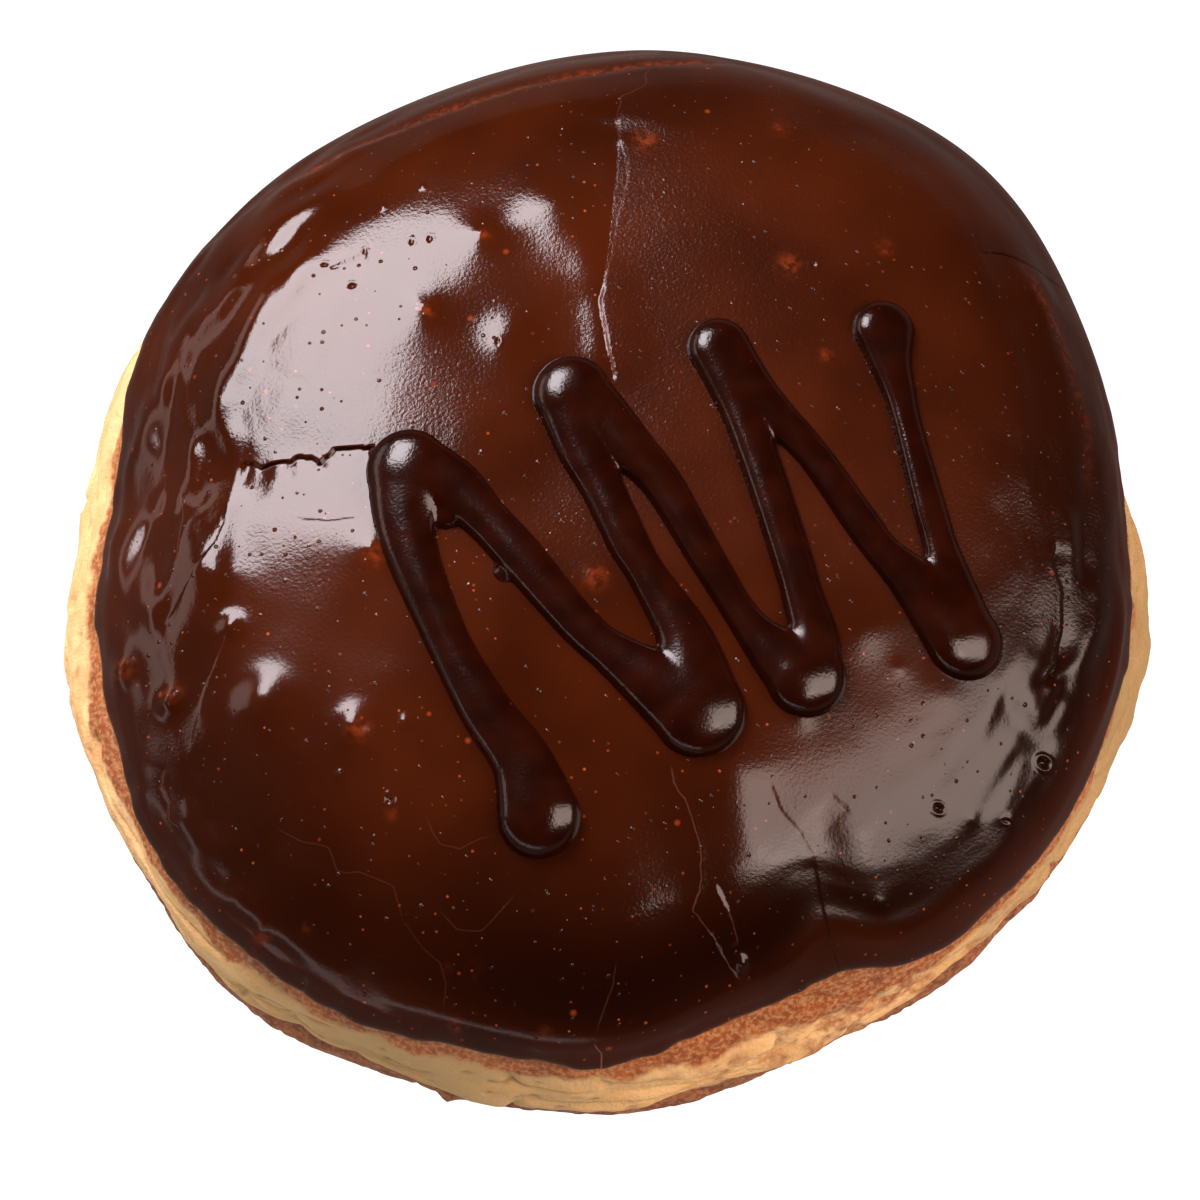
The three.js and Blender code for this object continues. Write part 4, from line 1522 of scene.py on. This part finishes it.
@dataclass
class Zigzag:
    """Dark chocolate piped over the icing in one zigzag, from seven joined strands."""

    icing: IcingSkin
    base_height: float = 0.7
    height_per_width: float = 0.46
    sink: float = 0.9
    sides: int = 28
    rings: int = 64
    cap_share: float = 0.2
    voxel: float = 0.2
    smoothing: int = 11
    widened: float = 0.16
    foot: float = 0.14
    foot_height: float = 0.26
    foot_middle: float = 0.02
    flatness: float = 0.6
    look: float = 0.02
    blob_height: float = 0.5
    strands: tuple[Route, ...] = (
        ((-17.7, 3.5, 3.5), (-17.8, -2.4, 2.3), (-14.5, -11.3, 1.7), (-11.1, -17.8, 2.0),
         (-7.8, -22.6, 2.4), (-6.3, -27.3, 3.4)),
        ((-17.7, 3.5, 3.5), (-13.8, 1.8, 2.4), (-11.0, -1.1, 1.8), (-8.1, -4.4, 1.8),
         (-3.1, -10.5, 1.6), (0.3, -13.5, 1.8), (7.4, -18.3, 3.9)),
        ((7.4, -18.3, 3.9), (6.3, -12.2, 2.3), (3.1, -6.5, 1.5), (1.4, -3.5, 1.6),
         (-0.9, 1.6, 1.7), (-2.7, 5.5, 2.1), (-3.5, 10.3, 3.3)),
        ((-3.5, 10.3, 3.3), (-0.7, 8.1, 2.2), (1.7, 5.1, 1.9), (4.3, 2.0, 1.6),
         (7.8, -4.2, 1.4), (11.2, -9.9, 1.3), (13.7, -12.8, 2.1), (16.6, -15.2, 3.3)),
        ((16.6, -15.2, 3.3), (17.3, -11.8, 2.0), (16.3, -7.8, 1.6), (15.4, -4.4, 1.6),
         (13.4, 2.2, 1.6), (12.4, 5.3, 1.6), (11.1, 9.4, 1.8), (9.3, 14.7, 2.6)),
        ((9.3, 14.7, 2.6), (11.8, 11.4, 1.9), (14.0, 8.7, 1.6), (17.3, 5.1, 1.3),
         (21.5, -1.1, 1.4), (23.4, -3.7, 1.4), (26.1, -6.4, 2.0), (30.4, -11.4, 3.2)),
        ((30.4, -11.4, 3.2), (29.8, -8.4, 2.3), (28.5, -3.3, 1.4), (27.5, 0.5, 1.3),
         (25.7, 8.0, 1.1), (25.0, 11.2, 1.3), (24.3, 13.8, 1.7), (23.8, 16.9, 2.6)),
    )
    blobs: Route = (
        (-9.3, -5.9, 1.0), (-14.4, 0.2, 2.2), (-2.4, 7.6, 1.5), (10.6, 11.6, 1.5),
    )

    def crest(self, half_width: np.ndarray) -> np.ndarray:
        """Returns how high a strand of this half width stands."""
        return self.base_height + self.height_per_width * half_width

    def strand(self, shape: bmesh.types.BMesh, route: Route) -> None:
        """Adds one strand, a ball drawn out along its route over a flat table.

        Args:
            shape: the mesh that it is added to.
            route: corners of x, y and half width.
        """
        made = bmesh.ops.create_uvsphere(
            shape, u_segments=self.sides, v_segments=self.rings, radius=1.0)["verts"]
        ball = np.array([vertex.co for vertex in made], float)
        line = np.asarray(route, float)
        tilt = np.arcsin(np.clip(ball[:, 2], -1.0, 1.0)) / (math.pi / 2)
        body = 1.0 - self.cap_share
        share = np.clip(tilt / body, -1.0, 1.0) / 2 + 0.5
        cap = np.clip((np.abs(tilt) - body) / self.cap_share, 0.0, 1.0) * (math.pi / 2)
        beyond, girth = np.sign(tilt) * np.sin(cap), np.cos(cap)
        turn = np.arctan2(ball[:, 1], ball[:, 0])
        across, up = girth * np.cos(turn), girth * np.sin(turn)
        up = np.sign(up) * np.abs(up) ** self.flatness
        places = share * (len(line) - 1)
        centre = catmull(line, places)
        ahead = catmull(line, np.minimum(places + self.look, len(line) - 1.0))
        behind = catmull(line, np.maximum(places - self.look, 0.0))
        way = (ahead - behind)[:, :2]
        way /= np.linalg.norm(way, axis=1)[:, None]
        half_width = centre[:, 2] + self.widened
        x = centre[:, 0] + half_width * (way[:, 0] * beyond + way[:, 1] * across)
        y = centre[:, 1] + half_width * (way[:, 1] * beyond - way[:, 0] * across)
        z = np.where(up > 0, up * self.crest(half_width), up * self.sink)
        for vertex, place in zip(made, np.stack([x, y, z], axis=-1)):
            vertex.co = place

    def joined(self) -> bpy.types.Mesh:
        """Returns the strands melted into one skin.

        Returns:
            The skin as a mesh.
        """
        shape = bmesh.new()
        for route in self.strands:
            self.strand(shape, route)
        flat = Matrix.Diagonal((1.0, 1.0, self.blob_height, 1.0))
        for x, y, radius in self.blobs:
            bmesh.ops.create_icosphere(shape, subdivisions=3, radius=radius,
                                       matrix=Matrix.Translation((x, y, 0.0)) @ flat)
        bmesh.ops.recalc_face_normals(shape, faces=shape.faces)
        loose = bpy.data.meshes.new("strands")
        shape.to_mesh(loose)
        shape.free()
        holder = bpy.data.objects.new("strands", loose)
        bpy.context.scene.collection.objects.link(holder)
        melt = holder.modifiers.new("melt", "REMESH")
        melt.mode = "VOXEL"
        melt.voxel_size = self.voxel
        graph = bpy.context.evaluated_depsgraph_get()
        melted = bpy.data.meshes.new_from_object(holder.evaluated_get(graph))
        bpy.data.objects.remove(holder)
        return melted

    def build(self, material: bpy.types.Material) -> bpy.types.Object:
        """Builds the piece and returns it.

        Args:
            material: its finish.

        Returns:
            The piece.
        """
        shape = bmesh.new()
        shape.from_mesh(self.joined())
        for _ in range(self.smoothing):
            bmesh.ops.smooth_vert(shape, verts=shape.verts, factor=0.5, use_axis_x=True,
                                  use_axis_y=True, use_axis_z=True)
        shape.normal_update()
        normals = np.array([vertex.normal for vertex in shape.verts], float)
        places = read_places(shape)
        flare = self.foot * bell(places[:, 2] - self.foot_middle, self.foot_height / 2)
        sideways = normals[:, :2] / np.maximum(np.linalg.norm(normals[:, :2], axis=1), 0.3)[:, None]
        places[:, :2] += sideways * flare[:, None]
        places[:, 2] += self.icing.top(places[:, 0], places[:, 1])
        write_places(shape, places)
        return finish_piece(shape, "piped_zigzag", material, "chocolate_icing")


@dataclass(frozen=True)
class Softbox:
    """A rectangular studio light that faces the doughnut."""

    name: str
    azimuth: float
    elevation: float
    width: float
    height: float
    power: float
    roll: float = 0.0
    distance: float = 0.6
    colour: tuple[float, float, float] = (1.0, 1.0, 1.0)
    mirrored: bool = True

    def build(self, target: Vector) -> bpy.types.Object:
        """Hangs the light and returns it.

        Args:
            target: what it faces, in metres.

        Returns:
            The light.
        """
        lamp = bpy.data.lights.new(self.name, "AREA")
        lamp.shape = "RECTANGLE"
        lamp.size, lamp.size_y = self.width, self.height
        lamp.energy = self.power
        lamp.color = self.colour
        light = bpy.data.objects.new(self.name, lamp)
        around, up = math.radians(self.azimuth), math.radians(self.elevation)
        towards = Vector((math.cos(up) * math.cos(around), math.cos(up) * math.sin(around),
                          math.sin(up)))
        turned = towards.to_track_quat("Z", "Y").to_matrix().to_4x4()
        spin = Matrix.Rotation(math.radians(self.roll), 4, "Z")
        light.matrix_world = Matrix.Translation(target + towards * self.distance) @ turned @ spin
        light.visible_glossy = self.mirrored
        bpy.context.scene.collection.objects.link(light)
        return light


@dataclass
class Studio:
    """A white table, softboxes and the camera, which looks down on the doughnut."""

    target: tuple[float, float, float] = (0.3, -0.9, 20.0)
    elevation: float = 72.0
    distance: float = 520.0
    aim_right: float = -1.08
    aim_up: float = -1.53
    lens: float = 173.5
    sensor: float = 36.0
    clipping: tuple[float, float] = (0.01, 20.0)
    table_size: float = 1.6
    softboxes: tuple[Softbox, ...] = (
        Softbox("key_light", 124.1, 47.9, 0.327, 0.232, 5.7, roll=41.0, colour=(1.0, 0.9, 0.93)),
        Softbox("side_light", -18.5, 47.9, 0.56, 0.314, 4.8, roll=-64.0,
                colour=(1.0, 0.78, 0.68)),
        Softbox("low_light", -43.0, 56.0, 0.05, 0.1, 0.1, colour=(1.0, 0.78, 0.68)),
        Softbox("rim_light", 232.0, 8.0, 1.1, 0.1, 0.75, colour=(1.0, 0.88, 0.88)),
        Softbox("wall_light", 158.0, 20.0, 0.56, 0.17, 0.8, colour=(1.0, 0.76, 0.7)),
        Softbox("fill_light", -160.0, 55.0, 1.2, 1.2, 4.0, distance=1.2, mirrored=False),
    )
    sky: float = 0.001
    horizon: float = 0.2
    horizon_top: float = 0.2
    wall_side: tuple[float, float, float] = (-0.9, 0.1, 0.42)
    wall: float = 0.1
    wall_spread: tuple[float, float] = (0.7, 0.99)
    air: Colour = paint(255, 226, 216)

    def table(self) -> None:
        """Lays the table that the doughnut stands on."""
        shape = bmesh.new()
        bmesh.ops.create_grid(shape, x_segments=1, y_segments=1, size=self.table_size)
        mesh = bpy.data.meshes.new("table")
        shape.to_mesh(mesh)
        shape.free()
        mesh.materials.append(FloorFinish().material())
        table = bpy.data.objects.new("table", mesh)
        table.visible_glossy = False
        bpy.context.scene.collection.objects.link(table)

    def surroundings(self) -> None:
        """Makes the room: dim overhead, lighter low down and towards one wall."""
        scene = bpy.context.scene
        world = bpy.data.worlds.new("room")
        scene.world = world
        world.use_nodes = True
        nodes, links = world.node_tree.nodes, world.node_tree.links
        place = nodes.new("ShaderNodeTexCoord")
        split = nodes.new("ShaderNodeSeparateXYZ")
        links.new(place.outputs["Generated"], split.inputs[0])
        facing = nodes.new("ShaderNodeVectorMath")
        facing.operation = "DOT_PRODUCT"
        facing.inputs[1].default_value = Vector(self.wall_side).normalized()
        links.new(place.outputs["Generated"], facing.inputs[0])
        total = nodes.new("ShaderNodeMath")
        ranges = (
            (split.outputs["Z"], (0.0, self.horizon_top), (self.horizon, self.sky)),
            (facing.outputs["Value"], self.wall_spread, (0.0, self.wall)),
        )
        for socket, (value, given, wanted) in zip(total.inputs, ranges):
            spread = nodes.new("ShaderNodeMapRange")
            spread.interpolation_type = "SMOOTHSTEP"
            for name, number in zip(("From Min", "From Max", "To Min", "To Max"),
                                    (*given, *wanted)):
                spread.inputs[name].default_value = number
            links.new(value, spread.inputs["Value"])
            links.new(spread.outputs[0], socket)
        nodes["Background"].inputs["Color"].default_value = self.air
        links.new(total.outputs[0], nodes["Background"].inputs["Strength"])
        scene.view_settings.view_transform = "Standard"

    def camera(self) -> None:
        """Sets up the camera."""
        tilt = math.radians(self.elevation)
        back = Vector((0.0, -math.cos(tilt), math.sin(tilt)))
        up = Vector((0.0, math.sin(tilt), math.cos(tilt)))
        right = Vector((1.0, 0.0, 0.0))
        place = Vector(self.target) + back * self.distance + right * self.aim_right
        place = (place + up * self.aim_up) * MILLIMETRE
        data = bpy.data.cameras.new("camera")
        data.lens = self.lens
        data.sensor_width = self.sensor
        data.clip_start, data.clip_end = self.clipping
        camera = bpy.data.objects.new("camera", data)
        axes = Matrix((right, up, back)).transposed().to_4x4()
        camera.matrix_world = Matrix.Translation(place) @ axes
        bpy.context.scene.collection.objects.link(camera)
        bpy.context.scene.camera = camera

    def build(self) -> None:
        """Builds the table, lights, room and camera."""
        self.table()
        self.surroundings()
        self.camera()
        for softbox in self.softboxes:
            softbox.build(Vector(self.target) * MILLIMETRE)
            log.info("%s: %.1f W", softbox.name, softbox.power)


def main() -> None:
    """Builds the doughnut and its studio."""
    logging.basicConfig(level=logging.INFO, format="%(message)s")
    form = BunForm()
    icing = IcingSkin(form)
    DoughBun(form).build(DoughFinish().material())
    icing.build(IcingFinish().material())
    Zigzag(icing).build(ZigzagFinish().material())
    Studio().build()


if __name__ == "__main__":
    main()
